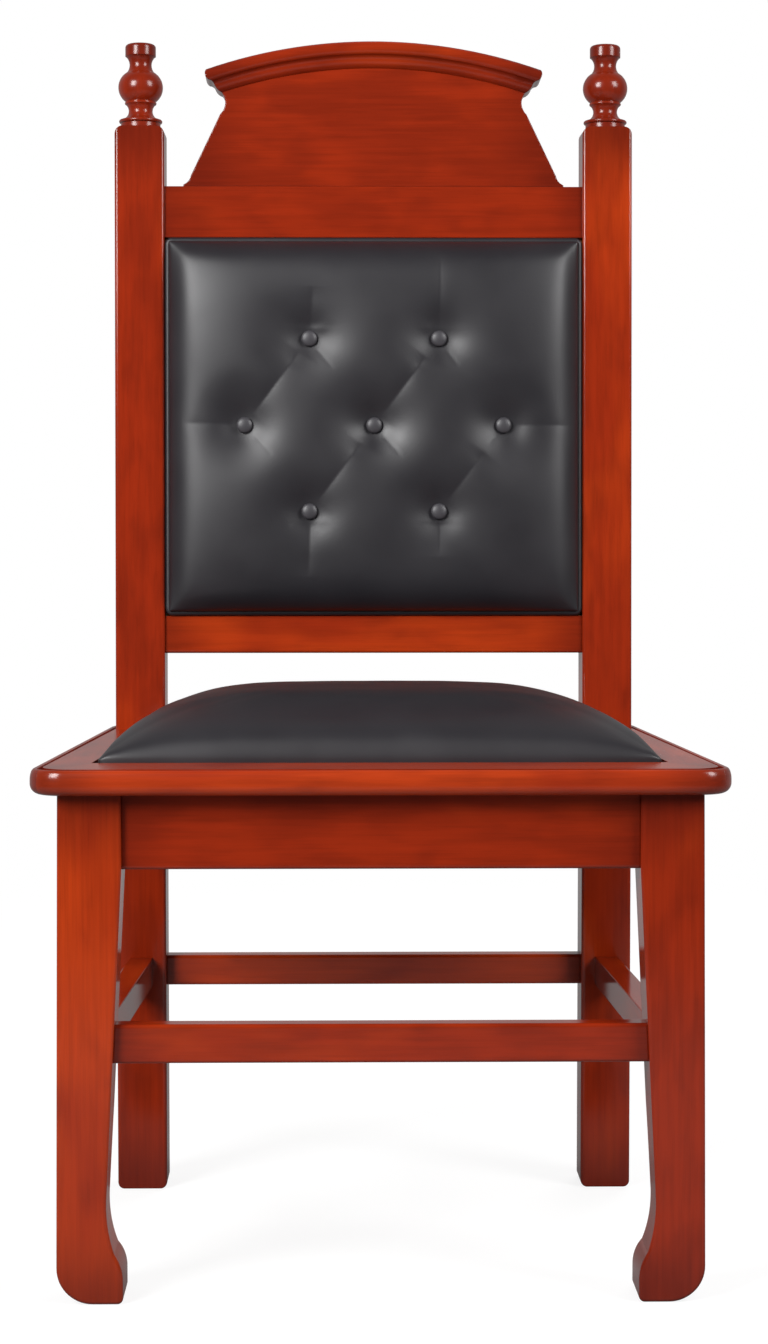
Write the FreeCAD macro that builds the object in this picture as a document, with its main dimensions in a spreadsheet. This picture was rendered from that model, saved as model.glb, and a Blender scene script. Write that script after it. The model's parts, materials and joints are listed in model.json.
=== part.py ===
import FreeCAD, Part
import math
import os
import re
import Sketcher

# Conference chair of solid wood with a tufted leather back and a domed leather seat.
# Millimetres and degrees. The chair faces -Y, Z is up, and the floor is Z = 0.
# The back leans: its pieces are drawn upright in a frame of their own, whose origin is the knee of the
# rear posts, with Y = 0 at the front face of the posts and Z along them.

V = FreeCAD.Vector
doc = FreeCAD.newDocument("conference_chair")
size = doc.addObject("Spreadsheet::Sheet", "Size")

driving = {
    # front legs
    "legFace": -218, "legOuter": 248.5, "legSplay": 3, "legWidth": 49, "legDepth": 46,
    "ankleWidth": 39, "ankleHeight": 80, "legWaist": 150, "ankleTuck": 6,
    "toeReach": 12.7, "toeHeight": 17, "swellHeight": 39, "footRound": 28, "toeRound": 4.5, "legEase": 2.5,
    # rear posts
    "rearFace": 169, "postOuter": 231.3, "postWidth": 44.3, "postDepth": 46, "knee": 420, "kneeRound": 900,
    "postLength": 535, "rake": 2.3, "postEase": 3, "postCrown": 7.5, "postFoot": 6,
    # aprons and stretchers
    "apronUnder": 337.5, "apronThick": 22, "apronSetback": 6, "rearApronSetback": 12,
    "frontBarLow": 186.6, "frontBarHigh": 216.8, "frontBarSetback": 8,
    "sideBarLow": 183, "sideBarHigh": 210, "barThick": 20, "rearBarSetback": 14, "barEase": 2.5,
    # joinery
    "tenonThick": 10, "tenonLength": 18, "tenonShoulder": 6, "jointGap": 0.1, "overcut": 1,
    "dowelRadius": 4, "dowelLength": 36, "crestDowelX": 90,
    # seat frame
    "seatUnder": 396, "seatTop": 416, "seatStep": 1.5, "stepInset": 10, "seatEdgeRound": 8,
    "seatFront": -236, "seatRear": 223, "seatHalfFront": 272, "seatHalfRear": 239,
    "frontCornerRound": 28, "rearCornerRound": 16, "postHoleGap": 0.2,
    # seat pad
    "padFront": -169, "padRear": 162, "padHalfFront": 219, "padHalfRear": 195, "padCorner": 9,
    "seatCrown": 52, "seatRim": 4, "seatSquare": 4, "seatFullness": 0.526, "coverThick": 2.5, "softGap": 0.4,
    "ledge": 24, "boardThick": 12, "recessGap": 0.8, "recessRound": 3,
    # corner blocks and screws
    "blockLow": 362, "blockReach": 50, "frameScrew": 2.5, "frameScrewBite": 11,
    "frontScrewIn": 15, "frontScrewBack": 40, "rearScrewIn": 9, "rearScrewAhead": 1,
    "boardScrew": 2, "boardScrewLength": 17,
    # back rails and crest, in the leaning frame
    "railSetback": 4, "railThick": 24, "lowRailLow": 64.2, "lowRailHigh": 97.5,
    "topRailLow": 436, "topRailHigh": 481.5,
    "crestTop": 609.3, "crestRadius": 455, "mouldHeight": 22.4, "mouldReach": 12.2, "mouldHalf": 135.5,
    "crestFoot": 170, "crestFootRise": 491, "crestFootHalf": 163.4, "crestLip": 1.5,
    "neckHalf": 132.8, "neckRise": 559, "neckLow": 546, "neckLowHalf": 137,
    # finials
    "finialHeight": 76, "finialBase": 17.7, "finialRing": 18.6, "finialBall": 20, "finialCap": 13.7,
    "finialCove": 10.7, "finialNeck": 9.9, "capRound": 3, "spigotRadius": 8, "spigotLength": 26,
    # back pad, in the leaning frame
    "backBoardFront": 12, "backBoardThick": 9, "backGap": 0.4, "weltRadius": 3, "weltRound": 3.3,
    "backFlange": 6, "backCrown": 34, "backEdge": 3, "tuftDepth": 17, "creaseShare": 0.4,
    "backFoamThick": 18, "foamInset": 9, "buttonPitchX": 57.5, "buttonPitchZ": 76.6,
    "buttonRadius": 7.5, "buttonHeight": 5,
    "twineRadius": 1, "cleatSize": 15, "sunkHead": 3, "rearPanelThick": 5, "cleatScrewRise": 125,
}

for row, (alias, amount) in enumerate(driving.items(), start=1):
    size.set(f"A{row}", alias)
    size.set(f"B{row}", str(amount))
    size.setAlias(f"B{row}", alias)
doc.recompute()

subParts = []


def cells(text):
    # an expression with the sheet's name before each alias
    def cell(word):
        return f"Size.{word[0]}" if word[0] in driving else word[0]

    return re.sub(r"[A-Za-z]\w*", cell, str(text))


def number(text):
    return float(size.evalExpression(cells(text)))


def bind(item, prop, text):
    item.setExpression(prop, cells(text))


def keep(item, label):
    item.Label = label
    subParts.append(item)
    return item


# Sketches

def newBody(name):
    return doc.addObject("PartDesign::Body", name)


def newSketch(body, plane, offset="0"):
    sketch = body.newObject("Sketcher::SketchObject", "Sketch")
    support = next(item for item in body.Origin.OriginFeatures if item.Role == plane)
    sketch.AttachmentSupport = [(support, "")]
    sketch.MapMode = "FlatFace"
    bind(sketch, "AttachmentOffset.Base.z", offset)
    return sketch


def pin(sketch, geometry, end, x, y):
    # ties one end of a line or arc, or a point, to two expressions
    for kind, text in (("DistanceX", x), ("DistanceY", y)):
        index = sketch.addConstraint(Sketcher.Constraint(kind, -1, 1, geometry, end, number(text)))
        bind(sketch, f"Constraints[{index}]", text)


def pinnedPoint(sketch, x, y, *curves):
    point = sketch.addGeometry(Part.Point(V(number(x), number(y), 0)), True)
    for curve in curves:
        sketch.addConstraint(Sketcher.Constraint("PointOnObject", point, 1, curve))
    pin(sketch, point, 1, x, y)


def addArc(sketch, start, middle, end):
    # a sketch keeps its arcs counter-clockwise, so the ends of a clockwise one change places
    clockwise = (middle - start).cross(end - middle).z < 0
    if clockwise:
        return sketch.addGeometry(Part.Arc(end, middle, start)), 2, 1
    return sketch.addGeometry(Part.Arc(start, middle, end)), 1, 2


def cornerSpot(corner):
    x, y = corner[:2] if len(corner) == 3 else corner[-2:]
    return V(number(x), number(y), 0)


def drawLoop(sketch, corners):
    # A corner is (x, y), or (x, y, radius) for a rounded one between two straight sides,
    # or (throughX, throughY, x, y) for one reached by an arc. All entries are expressions.
    spots = [cornerSpot(corner) for corner in corners]
    count = len(corners)
    entries, exits, middles = [], [], []
    for i, corner in enumerate(corners):
        here = spots[i]
        if len(corner) != 3:
            entries.append(here)
            exits.append(here)
            middles.append(None)
            continue
        back = (spots[i - 1] - here).normalize()
        ahead = (spots[(i + 1) % count] - here).normalize()
        half = back.getAngle(ahead) / 2
        radius = number(corner[2])
        inward = (back + ahead).normalize()
        entries.append(here + back * (radius / math.tan(half)))
        exits.append(here + ahead * (radius / math.tan(half)))
        middles.append(here + inward * (radius / math.sin(half) - radius))
    chain = []
    sides = []
    for i, corner in enumerate(corners):
        start = exits[i - 1]
        if len(corner) == 4:
            through = V(number(corner[0]), number(corner[1]), 0)
            side = addArc(sketch, start, through, entries[i])
            pinnedPoint(sketch, corner[0], corner[1], side[0])
        else:
            side = (sketch.addGeometry(Part.LineSegment(start, entries[i])), 1, 2)
        sides.append(side)
        chain.append((side, False))
        if middles[i] is not None:
            chain.append((addArc(sketch, entries[i], middles[i], exits[i]), True))
    for (before, roundBefore), (after, roundAfter) in zip(chain, chain[1:] + chain[:1]):
        kind = "Tangent" if roundBefore or roundAfter else "Coincident"
        sketch.addConstraint(Sketcher.Constraint(kind, before[0], before[2], after[0], after[1]))
    rounds = iter([item[0] for item, isRound in chain if isRound])
    for i, corner in enumerate(corners):
        if len(corner) == 3:
            pinnedPoint(sketch, corner[0], corner[1], sides[i][0], sides[(i + 1) % count][0])
            arc = next(rounds)
            index = sketch.addConstraint(Sketcher.Constraint("Radius", arc, number(corner[2])))
            bind(sketch, f"Constraints[{index}]", corner[2])
        else:
            pin(sketch, sides[i][0], sides[i][2], corner[-2], corner[-1])
    return sketch


def drawCircle(sketch, x, y, radius):
    centre = V(number(x), number(y), 0)
    circle = sketch.addGeometry(Part.Circle(centre, V(0, 0, 1), number(radius)))
    pin(sketch, circle, 3, x, y)
    index = sketch.addConstraint(Sketcher.Constraint("Radius", circle, number(radius)))
    bind(sketch, f"Constraints[{index}]", radius)
    return sketch


def rectangle(x0, y0, x1, y1):
    return [(x0, y0), (x1, y0), (x1, y1), (x0, y1)]


# Features

def pad(body, sketch, length, symmetric=False, reverse=False):
    feature = body.newObject("PartDesign::Pad", "Pad")
    feature.Profile = sketch
    bind(feature, "Length", length)
    feature.SideType = "Symmetric" if symmetric else "One side"
    feature.Reversed = reverse
    return feature


def pocket(body, sketch, length, symmetric=False, reverse=False):
    doc.recompute()
    before = body.Shape.Volume
    feature = body.newObject("PartDesign::Pocket", "Pocket")
    feature.Profile = sketch
    bind(feature, "Length", length)
    feature.SideType = "Symmetric" if symmetric else "One side"
    feature.Reversed = reverse
    doc.recompute()
    if not body.Shape.Volume < before - 1:
        raise RuntimeError(f"a pocket in {body.Name} cuts nothing")
    return feature


def revolve(body, sketch, axis, angle="360", symmetric=False):
    feature = body.newObject("PartDesign::Revolution", "Revolution")
    feature.Profile = sketch
    feature.ReferenceAxis = (sketch, [axis])
    bind(feature, "Angle", angle)
    feature.Midplane = symmetric
    return feature


def ease(body, radius, wanted):
    # rounds the edges that the test picks out
    doc.recompute()
    base = body.Tip
    names = [f"Edge{i}" for i, edge in enumerate(base.Shape.Edges, start=1) if wanted(edge)]
    feature = body.newObject("PartDesign::Fillet", "Fillet")
    feature.Base = (base, names)
    bind(feature, "Radius", radius)
    return feature


def runsAlong(edge, axis):
    first, last = edge.Vertexes[0].Point, edge.Vertexes[-1].Point
    return edge.Length > 30 and abs((last - first).normalize().dot(axis)) > 0.99


def leanPlacement(x=0, y=0, z=0):
    knee = V(0, number("rearFace"), number("knee"))
    lean = FreeCAD.Placement(knee, FreeCAD.Rotation(V(-1, 0, 0), number("rake")))
    return lean.multiply(FreeCAD.Placement(V(x, y, z), FreeCAD.Rotation()))


def leanBack(item):
    item.Placement = leanPlacement()
    bind(item, "Placement.Base.y", "rearFace")
    bind(item, "Placement.Base.z", "knee")
    bind(item, "Placement.Rotation.Angle", "rake")
    return item


def block(name, low, high, leaning=False):
    # a box between two corners
    box = doc.addObject("Part::Box", name)
    for prop, a, b in zip(("Length", "Width", "Height"), low, high):
        bind(box, prop, f"({b}) - ({a})")
    if leaning:
        box.Placement = leanPlacement(*[number(text) for text in low])
    else:
        for axis, text in zip("xyz", low):
            bind(box, f"Placement.Base.{axis}", text)
    return box


def rod(name, radius, length, place, direction=V(0, 0, 1), leaning=False):
    cylinder = doc.addObject("Part::Cylinder", name)
    bind(cylinder, "Radius", radius)
    bind(cylinder, "Height", length)
    spot = V(*[number(text) for text in place])
    turned = FreeCAD.Placement(spot, FreeCAD.Rotation(V(0, 0, 1), direction))
    cylinder.Placement = leanPlacement().multiply(turned) if leaning else turned
    return cylinder


def together(name, items):
    group = doc.addObject("Part::Compound", name)
    group.Links = items
    return group


def cut(base, tools, name):
    result = doc.addObject("Part::Cut", name)
    result.Base = base
    result.Tool = tools[0] if len(tools) == 1 else together(f"{name}Tools", tools)
    return result


def opposite(item, label):
    # the left-hand twin of a right-hand piece
    twin = doc.addObject("Part::Mirroring", "Mirror")
    twin.Source = item
    twin.Base = V(0, 0, 0)
    twin.Normal = V(1, 0, 0)
    return keep(twin, label)


def bothHands(item, name):
    keep(item, f"right_{name}")
    opposite(item, f"left_{name}")


# Derived sizes used by several pieces

legInner = "(legOuter - legWidth)"
legRear = "(legFace + legDepth)"
footOuter = "(legOuter + legSplay)"
ankleInner = "(legOuter + legSplay - ankleWidth)"
postInner = "(postOuter - postWidth)"
postRear = "(rearFace + postDepth)"
sideRailFront = "(legOuter - apronSetback)"
sideRailRear = "(postOuter - apronSetback)"
barCentreFront = "(legOuter - legWidth / 2)"
postMiddle = "(postOuter - postWidth / 2)"


def legInnerAt(z):
    # the inner face of a front leg tapers evenly from the apron down to the ankle
    share = f"(apronUnder - ({z})) / (apronUnder - ankleHeight)"
    return f"({legInner} + ({ankleInner} - {legInner}) * {share})"


def mortise(name, low, high, leaning=False):
    # a tenon's hole, wider than the tenon by the joint gap all round
    return block(
        name,
        [f"{text} - jointGap" for text in low],
        [f"{text} + jointGap" for text in high],
        leaning,
    )


def footSteps(ankle, reach):
    # from the ankle down into the curled toe, in shares of its reach
    def out(share):
        return f"{ankle} + {share} * {reach}"

    return [
        (out(0.09), "(ankleHeight + swellHeight) / 2", out(0.47), "swellHeight"),
        (out(0.87), "(swellHeight + toeHeight) / 2 + 0.5", out(1), "toeHeight"),
    ]


# Tenons: low and high corners of the right-hand end of each rail

def crossTenon(shoulder, front, thick, low, high):
    # of a rail that runs along X: past the shoulder, in the middle of the thickness
    middle = f"({front} + {thick} / 2)"
    return (
        [shoulder, f"{middle} - tenonThick / 2", f"{low} + tenonShoulder"],
        [f"{shoulder} + tenonLength", f"{middle} + tenonThick / 2", f"{high} - tenonShoulder"],
    )


def frontTenon(middle, low, high):
    # of a side rail, into the front leg
    return (
        [f"{middle} - tenonThick / 2", f"{legRear} - tenonLength", f"{low} + tenonShoulder"],
        [f"{middle} + tenonThick / 2", legRear, f"{high} - tenonShoulder"],
    )


def rearTenon(middle, low, high):
    # of a side rail, into the rear post
    return (
        [f"{middle} - tenonThick / 2", "rearFace", f"{low} + tenonShoulder"],
        [f"{middle} + tenonThick / 2", "rearFace + tenonLength", f"{high} - tenonShoulder"],
    )


apronFront = "(legFace + apronSetback)"
rearApronFront = "(rearFace + rearApronSetback)"
rearBarFront = "(rearFace + rearBarSetback)"
frontBarFront = "(legFace + frontBarSetback)"
frontBarShoulder = legInnerAt("frontBarHigh")
apronMiddleFront = f"({sideRailFront} - apronThick / 2)"
apronMiddleRear = f"({sideRailRear} - apronThick / 2)"

tenons = {
    "frontApron": crossTenon(legInner, apronFront, "apronThick", "apronUnder", "seatUnder"),
    "rearApron": crossTenon(postInner, rearApronFront, "apronThick", "apronUnder", "seatUnder"),
    "frontBar": crossTenon(frontBarShoulder, frontBarFront, "barThick", "frontBarLow", "frontBarHigh"),
    "rearBar": crossTenon(postInner, rearBarFront, "barThick", "sideBarLow", "sideBarHigh"),
    "lowRail": crossTenon(postInner, "railSetback", "railThick", "lowRailLow", "lowRailHigh"),
    "topRail": crossTenon(postInner, "railSetback", "railThick", "topRailLow", "topRailHigh"),
    "sideApronFront": frontTenon(apronMiddleFront, "apronUnder", "seatUnder"),
    "sideApronRear": rearTenon(apronMiddleRear, "apronUnder", "seatUnder"),
    "sideBarFront": frontTenon(barCentreFront, "sideBarLow", "sideBarHigh"),
    "sideBarRear": rearTenon(postMiddle, "sideBarLow", "sideBarHigh"),
}


def mortises(names, leaning=()):
    return [mortise(f"{name}Mortise", *tenons[name], leaning=name in leaning) for name in names]


# Front legs: straight outside, tapered inside, with a foot that curls inwards and backwards

def frontLegs():
    leg = newBody("FrontLeg")
    front = newSketch(leg, "XZ_Plane", "-legFace")
    toe = "(0 - toeReach)"
    drawLoop(front, [
        (footOuter, "0", "footRound"),
        ("legOuter", "seatUnder"),
        (legInner, "seatUnder"),
        (legInner, "apronUnder"),
        (ankleInner, "ankleHeight"),
        *footSteps(ankleInner, toe),
        (f"{ankleInner} - toeReach", "0", "toeRound"),
    ])
    pad(leg, front, "legDepth + toeReach", reverse=True)
    side = newSketch(leg, "YZ_Plane")
    tuck = f"({legRear} - ankleTuck)"
    beyond = f"({legRear} + 2 * toeReach)"
    drawLoop(side, [
        (beyond, "seatUnder + toeReach"),
        (legRear, "seatUnder + toeReach"),
        (legRear, "legWaist"),
        (f"{tuck} + 0.3 * ankleTuck", "(legWaist + ankleHeight) / 2", tuck, "ankleHeight"),
        *footSteps(tuck, "toeReach"),
        (f"{tuck} + toeReach", "0 - toeReach"),
        (beyond, "0 - toeReach"),
    ])
    pocket(leg, side, "2 * legOuter", reverse=True)
    face, top = number("legFace"), number("seatUnder")
    ease(leg, "legEase", lambda edge: edge.BoundBox.YMax < face + 1 and edge.BoundBox.ZMin < top - 1)
    holes = mortises(["frontApron", "frontBar", "sideApronFront", "sideBarFront"])
    bothHands(cut(leg, holes, "FrontLegCut"), "front_leg")


# Rear posts: upright below the seat, leaning back above it, with a bore for the finial's spigot

def leaned(y, z):
    return (
        f"rearFace + ({y}) * cos(rake) + ({z}) * sin(rake)",
        f"knee - ({y}) * sin(rake) + ({z}) * cos(rake)",
    )


def rearPosts():
    post = newBody("RearPost")
    side = newSketch(post, "YZ_Plane", postInner)
    drawLoop(side, [
        ("rearFace", "0"),
        (postRear, "0"),
        (*leaned("postDepth", "0 - postDepth * tan(rake / 2)"), "kneeRound"),
        leaned("postDepth", "postLength"),
        leaned("0", "postLength"),
        ("rearFace", "knee", "kneeRound"),
    ])
    pad(post, side, "postWidth")
    up = V(0, 0, 1)
    ease(post, "postEase", lambda edge: runsAlong(edge, up) or edge.Curve.TypeId == "Part::GeomCircle")
    # from the front, the foot has small round corners and the top has round shoulders
    foot = newSketch(post, "XZ_Plane")
    shoulders = newSketch(post, "XZ_Plane")
    top = "(knee + postLength * cos(rake))"
    for face, inward in (("postOuter", -1), (postInner, 1)):
        curve = f"{face} + {inward} * postFoot * (1 - cos(45))"
        drawLoop(foot, [
            (face, "0"),
            (face, "postFoot"),
            (curve, "postFoot * (1 - sin(45))", f"{face} + {inward} * postFoot", "0"),
        ])
        curve = f"{face} + {inward} * postCrown * (1 - cos(45))"
        flat = f"{face} + {inward} * postCrown"
        drawLoop(shoulders, [
            (face, f"{top} + overcut"),
            (face, f"{top} - postCrown"),
            (curve, f"{top} - postCrown * (1 - sin(45))", flat, top),
            (flat, f"{top} + overcut"),
        ])
    pocket(post, foot, "2 * rearFace")
    pocket(post, shoulders, "2 * rearFace")
    holes = mortises(
        ["rearApron", "rearBar", "lowRail", "topRail", "sideApronRear", "sideBarRear"],
        leaning=("lowRail", "topRail"),
    )
    boreEnd = (postMiddle, "postDepth / 2", "postLength - spigotLength - overcut")
    holes.append(rod("FinialBore", "spigotRadius + jointGap", "2 * spigotLength", boreEnd, leaning=True))
    bothHands(cut(post, holes, "RearPostCut"), "rear_post")


# Finials: turned, with base rings, a cove, a bead, a ball, a neck and a flat cap

def finials():
    finial = newBody("Finial")
    outline = newSketch(finial, "XZ_Plane")

    def up(share):
        return f"{share} * finialHeight"

    capBulge = "0.3 * capRound"
    drawLoop(outline, [
        ("0", "0 - spigotLength"),
        ("spigotRadius", "0 - spigotLength"),
        ("spigotRadius", "0"),
        ("finialBase", "0"),
        ("finialBase", up(0.07)),
        ("finialRing", up(0.07)),
        ("finialRing + 0.8", up(0.089), "finialRing", up(0.108)),
        ("finialBase", up(0.112)),
        ("finialCove", up(0.21), "finialCove + 2.4", up(0.287)),
        ("finialCove + 2.9", up(0.29)),
        ("finialCove + 3.5", up(0.305), "finialCove + 2.9", up(0.321)),
        ("finialCove + 2.3", up(0.321)),
        ("finialBall", up(0.5), "finialNeck + 2.4", up(0.669)),
        ("finialNeck", up(0.768), "finialNeck + 2.8", up(0.85)),
        ("finialCap", up(0.858)),
        ("finialCap", "finialHeight - capRound"),
        (f"finialCap - {capBulge}", f"finialHeight - {capBulge}", "finialCap - capRound", "finialHeight"),
        ("0", "finialHeight"),
    ])
    revolve(finial, outline, "V_Axis")
    finial.Placement = leanPlacement(number(postMiddle), number("postDepth / 2"), number("postLength"))
    bothHands(finial, "finial")


# Straight rails between the legs and between the posts

def crossRail(name, tenon, front, thick, low, high, shoulderLow, shoulderHigh, rounded, leaning=False):
    rail = newBody(name)
    face = newSketch(rail, "XZ_Plane", f"0 - {front}")
    drawLoop(face, [
        (f"0 - {shoulderLow}", low),
        (shoulderLow, low),
        (shoulderHigh, high),
        (f"0 - {shoulderHigh}", high),
    ])
    pad(rail, face, thick, reverse=True)
    if rounded:
        sideways = V(1, 0, 0)
        edge = number(low) + 1 if rounded == "under" else number(high) + 1
        ease(rail, "barEase", lambda item: runsAlong(item, sideways) and item.BoundBox.ZMin < edge)
    (_, tenonFront, tenonLow), (tenonEnd, _, tenonHigh) = tenons[tenon]
    tongue = newSketch(rail, "XZ_Plane", f"0 - ({tenonFront})")
    drawLoop(tongue, rectangle(f"0 - ({tenonEnd})", tenonLow, tenonEnd, tenonHigh))
    pad(rail, tongue, "tenonThick", reverse=True)
    return leanBack(rail) if leaning else rail


def crossRails():
    keep(crossRail("FrontApron", "frontApron", apronFront, "apronThick", "apronUnder", "seatUnder",
                   legInner, legInner, "under"), "front_apron")
    keep(crossRail("RearApron", "rearApron", rearApronFront, "apronThick", "apronUnder", "seatUnder",
                   postInner, postInner, "under"), "rear_apron")
    keep(crossRail("FrontBar", "frontBar", frontBarFront, "barThick", "frontBarLow", "frontBarHigh",
                   legInnerAt("frontBarLow"), frontBarShoulder, "all"), "front_stretcher")
    keep(crossRail("RearBar", "rearBar", rearBarFront, "barThick", "sideBarLow", "sideBarHigh",
                   postInner, postInner, "all"), "rear_stretcher")
    keep(crossRail("LowRail", "lowRail", "railSetback", "railThick", "lowRailLow", "lowRailHigh",
                   postInner, postInner, "under", leaning=True), "back_bottom_rail")
    top = crossRail("TopRail", "topRail", "railSetback", "railThick", "topRailLow", "topRailHigh",
                    postInner, postInner, "", leaning=True)
    keep(cut(top, crestDowels("TopRailBore", "jointGap"), "TopRailCut"), "back_top_rail")


# Side rails run from the front legs, which stand wider, to the rear posts

def sideRail(name, frontMiddle, rearMiddle, thick, low, high, frontEnd, rearEnd):
    rail = newBody(name)
    plan = newSketch(rail, "XY_Plane", low)
    drawLoop(plan, [
        (f"{frontMiddle} - {thick} / 2", legRear),
        (f"{frontMiddle} + {thick} / 2", legRear),
        (f"{rearMiddle} + {thick} / 2", "rearFace"),
        (f"{rearMiddle} - {thick} / 2", "rearFace"),
    ])
    pad(rail, plan, f"{high} - ({low})")
    lengthwise = V(0, 1, 0)
    ease(rail, "barEase", lambda edge: runsAlong(edge, lengthwise) and edge.BoundBox.ZMin < number(low) + 1)
    for tenon in (frontEnd, rearEnd):
        (x0, y0, z0), (x1, y1, z1) = tenons[tenon]
        tongue = newSketch(rail, "XY_Plane", z0)
        drawLoop(tongue, rectangle(x0, y0, x1, y1))
        pad(rail, tongue, f"{z1} - ({z0})")
    return rail


def sideRails():
    bothHands(sideRail("SideApron", apronMiddleFront, apronMiddleRear, "apronThick",
                       "apronUnder", "seatUnder", "sideApronFront", "sideApronRear"), "side_apron")
    bothHands(sideRail("SideBar", barCentreFront, postMiddle, "barThick",
                       "sideBarLow", "sideBarHigh", "sideBarFront", "sideBarRear"), "side_stretcher")


# Crest: a panel with flared foot and a moulding that caps it

def crestDowels(name, gap="0"):
    low = "topRailHigh - dowelLength / 2"
    middle = "railSetback + railThick / 2"
    return [
        rod(f"{name}{side}", f"dowelRadius + {gap}", f"dowelLength + 2 * ({gap})",
            (f"{side} * crestDowelX", middle, f"{low} - ({gap})"), leaning=True)
        for side in (-1, 1)
    ]


def crestPanel():
    panel = newBody("CrestPanel")
    face = newSketch(panel, "XZ_Plane", "0 - railSetback")
    low = "topRailHigh"
    under = "(crestRadius - mouldHeight)"
    centre = "(crestTop - crestRadius)"
    shoulder = f"{centre} + sqrt({under}^2 - mouldHalf^2)"
    lip = f"{low} + crestLip"
    neck = ("neckHalf", "neckRise")
    foot = ("crestFootHalf + (crestFoot - crestFootHalf) / 3", f"{lip} + 0.4 * (crestFootRise - ({lip}))")
    drawLoop(face, [
        ("0 - crestFoot", low),
        ("crestFoot", low),
        ("crestFoot", lip),
        (*foot, "crestFootHalf", "crestFootRise"),
        ("neckLowHalf", "neckLow"),
        (*neck, "mouldHalf", shoulder),
        ("0", f"{centre} + {under}", "0 - mouldHalf", shoulder),
        (f"0 - {neck[0]}", neck[1], "0 - neckLowHalf", "neckLow"),
        ("0 - crestFootHalf", "crestFootRise"),
        (f"0 - ({foot[0]})", foot[1], "0 - crestFoot", lip),
    ])
    pad(panel, face, "railThick", reverse=True)
    leanBack(panel)
    keep(cut(panel, crestDowels("CrestBore", "jointGap"), "CrestPanelCut"), "crest_panel")
    keep(together("CrestDowels", crestDowels("CrestDowel")), "crest_dowels")


def cornice(sign, base, foot):
    # a rounded foot, a cove and a bead, from the moulding's foot up to its top
    def out(share):
        return f"{base} + {sign} * {share} * mouldReach"

    def rise(share):
        return f"{foot} + {share} * mouldHeight"

    return [
        (out(0), rise(0)),
        (out(0.28), rise(0.12), out(0.45), rise(0.33)),
        (out(0.6), rise(0.45), out(0.8), rise(0.5)),
        (out(1), rise(0.77), out(0.72), rise(1)),
    ]


def reversedSteps(steps):
    # the same run of corners and arcs, walked from its last corner to its first
    turned = []
    for after, step in zip([None, *steps[::-1]], steps[::-1]):
        through = after[:2] if after is not None and len(after) == 4 else ()
        turned.append((*through, *step[-2:]))
    return turned


def crestMoulding():
    under = "(crestRadius - mouldHeight)"
    moulding = newBody("CrestMoulding")
    section = newSketch(moulding, "YZ_Plane")
    drawLoop(section, [
        ("railSetback + railThick", under),
        *cornice(-1, "railSetback", under),
        ("railSetback + railThick", "crestRadius"),
    ])
    # the arch runs past both ends, which are then cut to shape
    halfTurn = f"asin(mouldHalf / {under})"
    revolve(moulding, section, "H_Axis", f"2 * {halfTurn} + 8 deg", symmetric=True)
    # each end returns with the same profile, square to a line halfway between upright and the arch's radius
    end = newBody("CrestMouldingEnd")
    beyond = "4 * mouldReach"
    profile = newSketch(end, "XZ_Plane", "2 * mouldReach")
    drawLoop(profile, [
        (beyond, "0 - 2 * mouldHeight"),
        (beyond, "2 * mouldHeight"),
        ("0.72 * mouldReach", "2 * mouldHeight"),
        *reversedSteps(cornice(1, "0", "0")),
        ("0", "0 - 2 * mouldHeight"),
    ])
    pad(end, profile, "8 * mouldReach", reverse=True)
    shoulder = V(number("mouldHalf"), 0, number(f"sqrt({under}^2 - mouldHalf^2)"))
    end.Placement = FreeCAD.Placement(shoulder, FreeCAD.Rotation(V(0, 1, 0), number(halfTurn) / 2))
    otherEnd = doc.addObject("Part::Mirroring", "OtherEnd")
    otherEnd.Source = end
    otherEnd.Normal = V(1, 0, 0)
    shaped = cut(moulding, [end, otherEnd], "CrestMouldingCut")
    shaped.Placement = leanPlacement(0, 0, number("crestTop - crestRadius"))
    keep(shaped, "crest_moulding")


# Seat frame: four mitred rails, pierced by the rear posts and rebated for the seat board

def trapezium(front, rear, halfFront, halfRear, frontRound, rearRound):
    return [
        (f"0 - {halfFront}", front, frontRound),
        (halfFront, front, frontRound),
        (halfRear, rear, rearRound),
        (f"0 - {halfRear}", rear, rearRound),
    ]


def seatPlan(inset):
    return trapezium(f"seatFront + {inset}", f"seatRear - {inset}",
                     f"(seatHalfFront - {inset})", f"(seatHalfRear - {inset})",
                     f"frontCornerRound - {inset} / 2", f"rearCornerRound - {inset} / 2")


def padPlan(inset, corner):
    return trapezium(f"padFront + {inset}", f"padRear - ({inset})",
                     f"(padHalfFront - ({inset}))", f"(padHalfRear - ({inset}))", corner, corner)


boardScrewPlaces = [
    (f"{side} * {across}", along)
    for across, along in (
        ("(padHalfFront * 0.55)", "padFront + ledge / 2"),
        ("(padHalfRear * 0.55)", "padRear - ledge / 2"),
        ("((padHalfFront + padHalfRear) / 2 - ledge / 2)", "(padFront + padRear) / 2"),
    )
    for side in (-1, 1)
]

frameScrewPlaces = [
    (f"{side} * ({across})", along)
    for across, along in (
        (f"{legInner} - frontScrewIn", "legFace + frontScrewBack"),
        (f"{postInner} - rearScrewIn", "rearFace - rearScrewAhead"),
    )
    for side in (-1, 1)
]


ledgeThick = "(seatTop - boardThick - seatUnder)"


def screwHoles(name, places, radius, low, length):
    return [rod(f"{name}{index}", radius, length, (x, y, low)) for index, (x, y) in enumerate(places)]


def fused(name, base, tool):
    result = doc.addObject("Part::Fuse", name)
    result.Base = base
    result.Tool = tool
    return result


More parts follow.
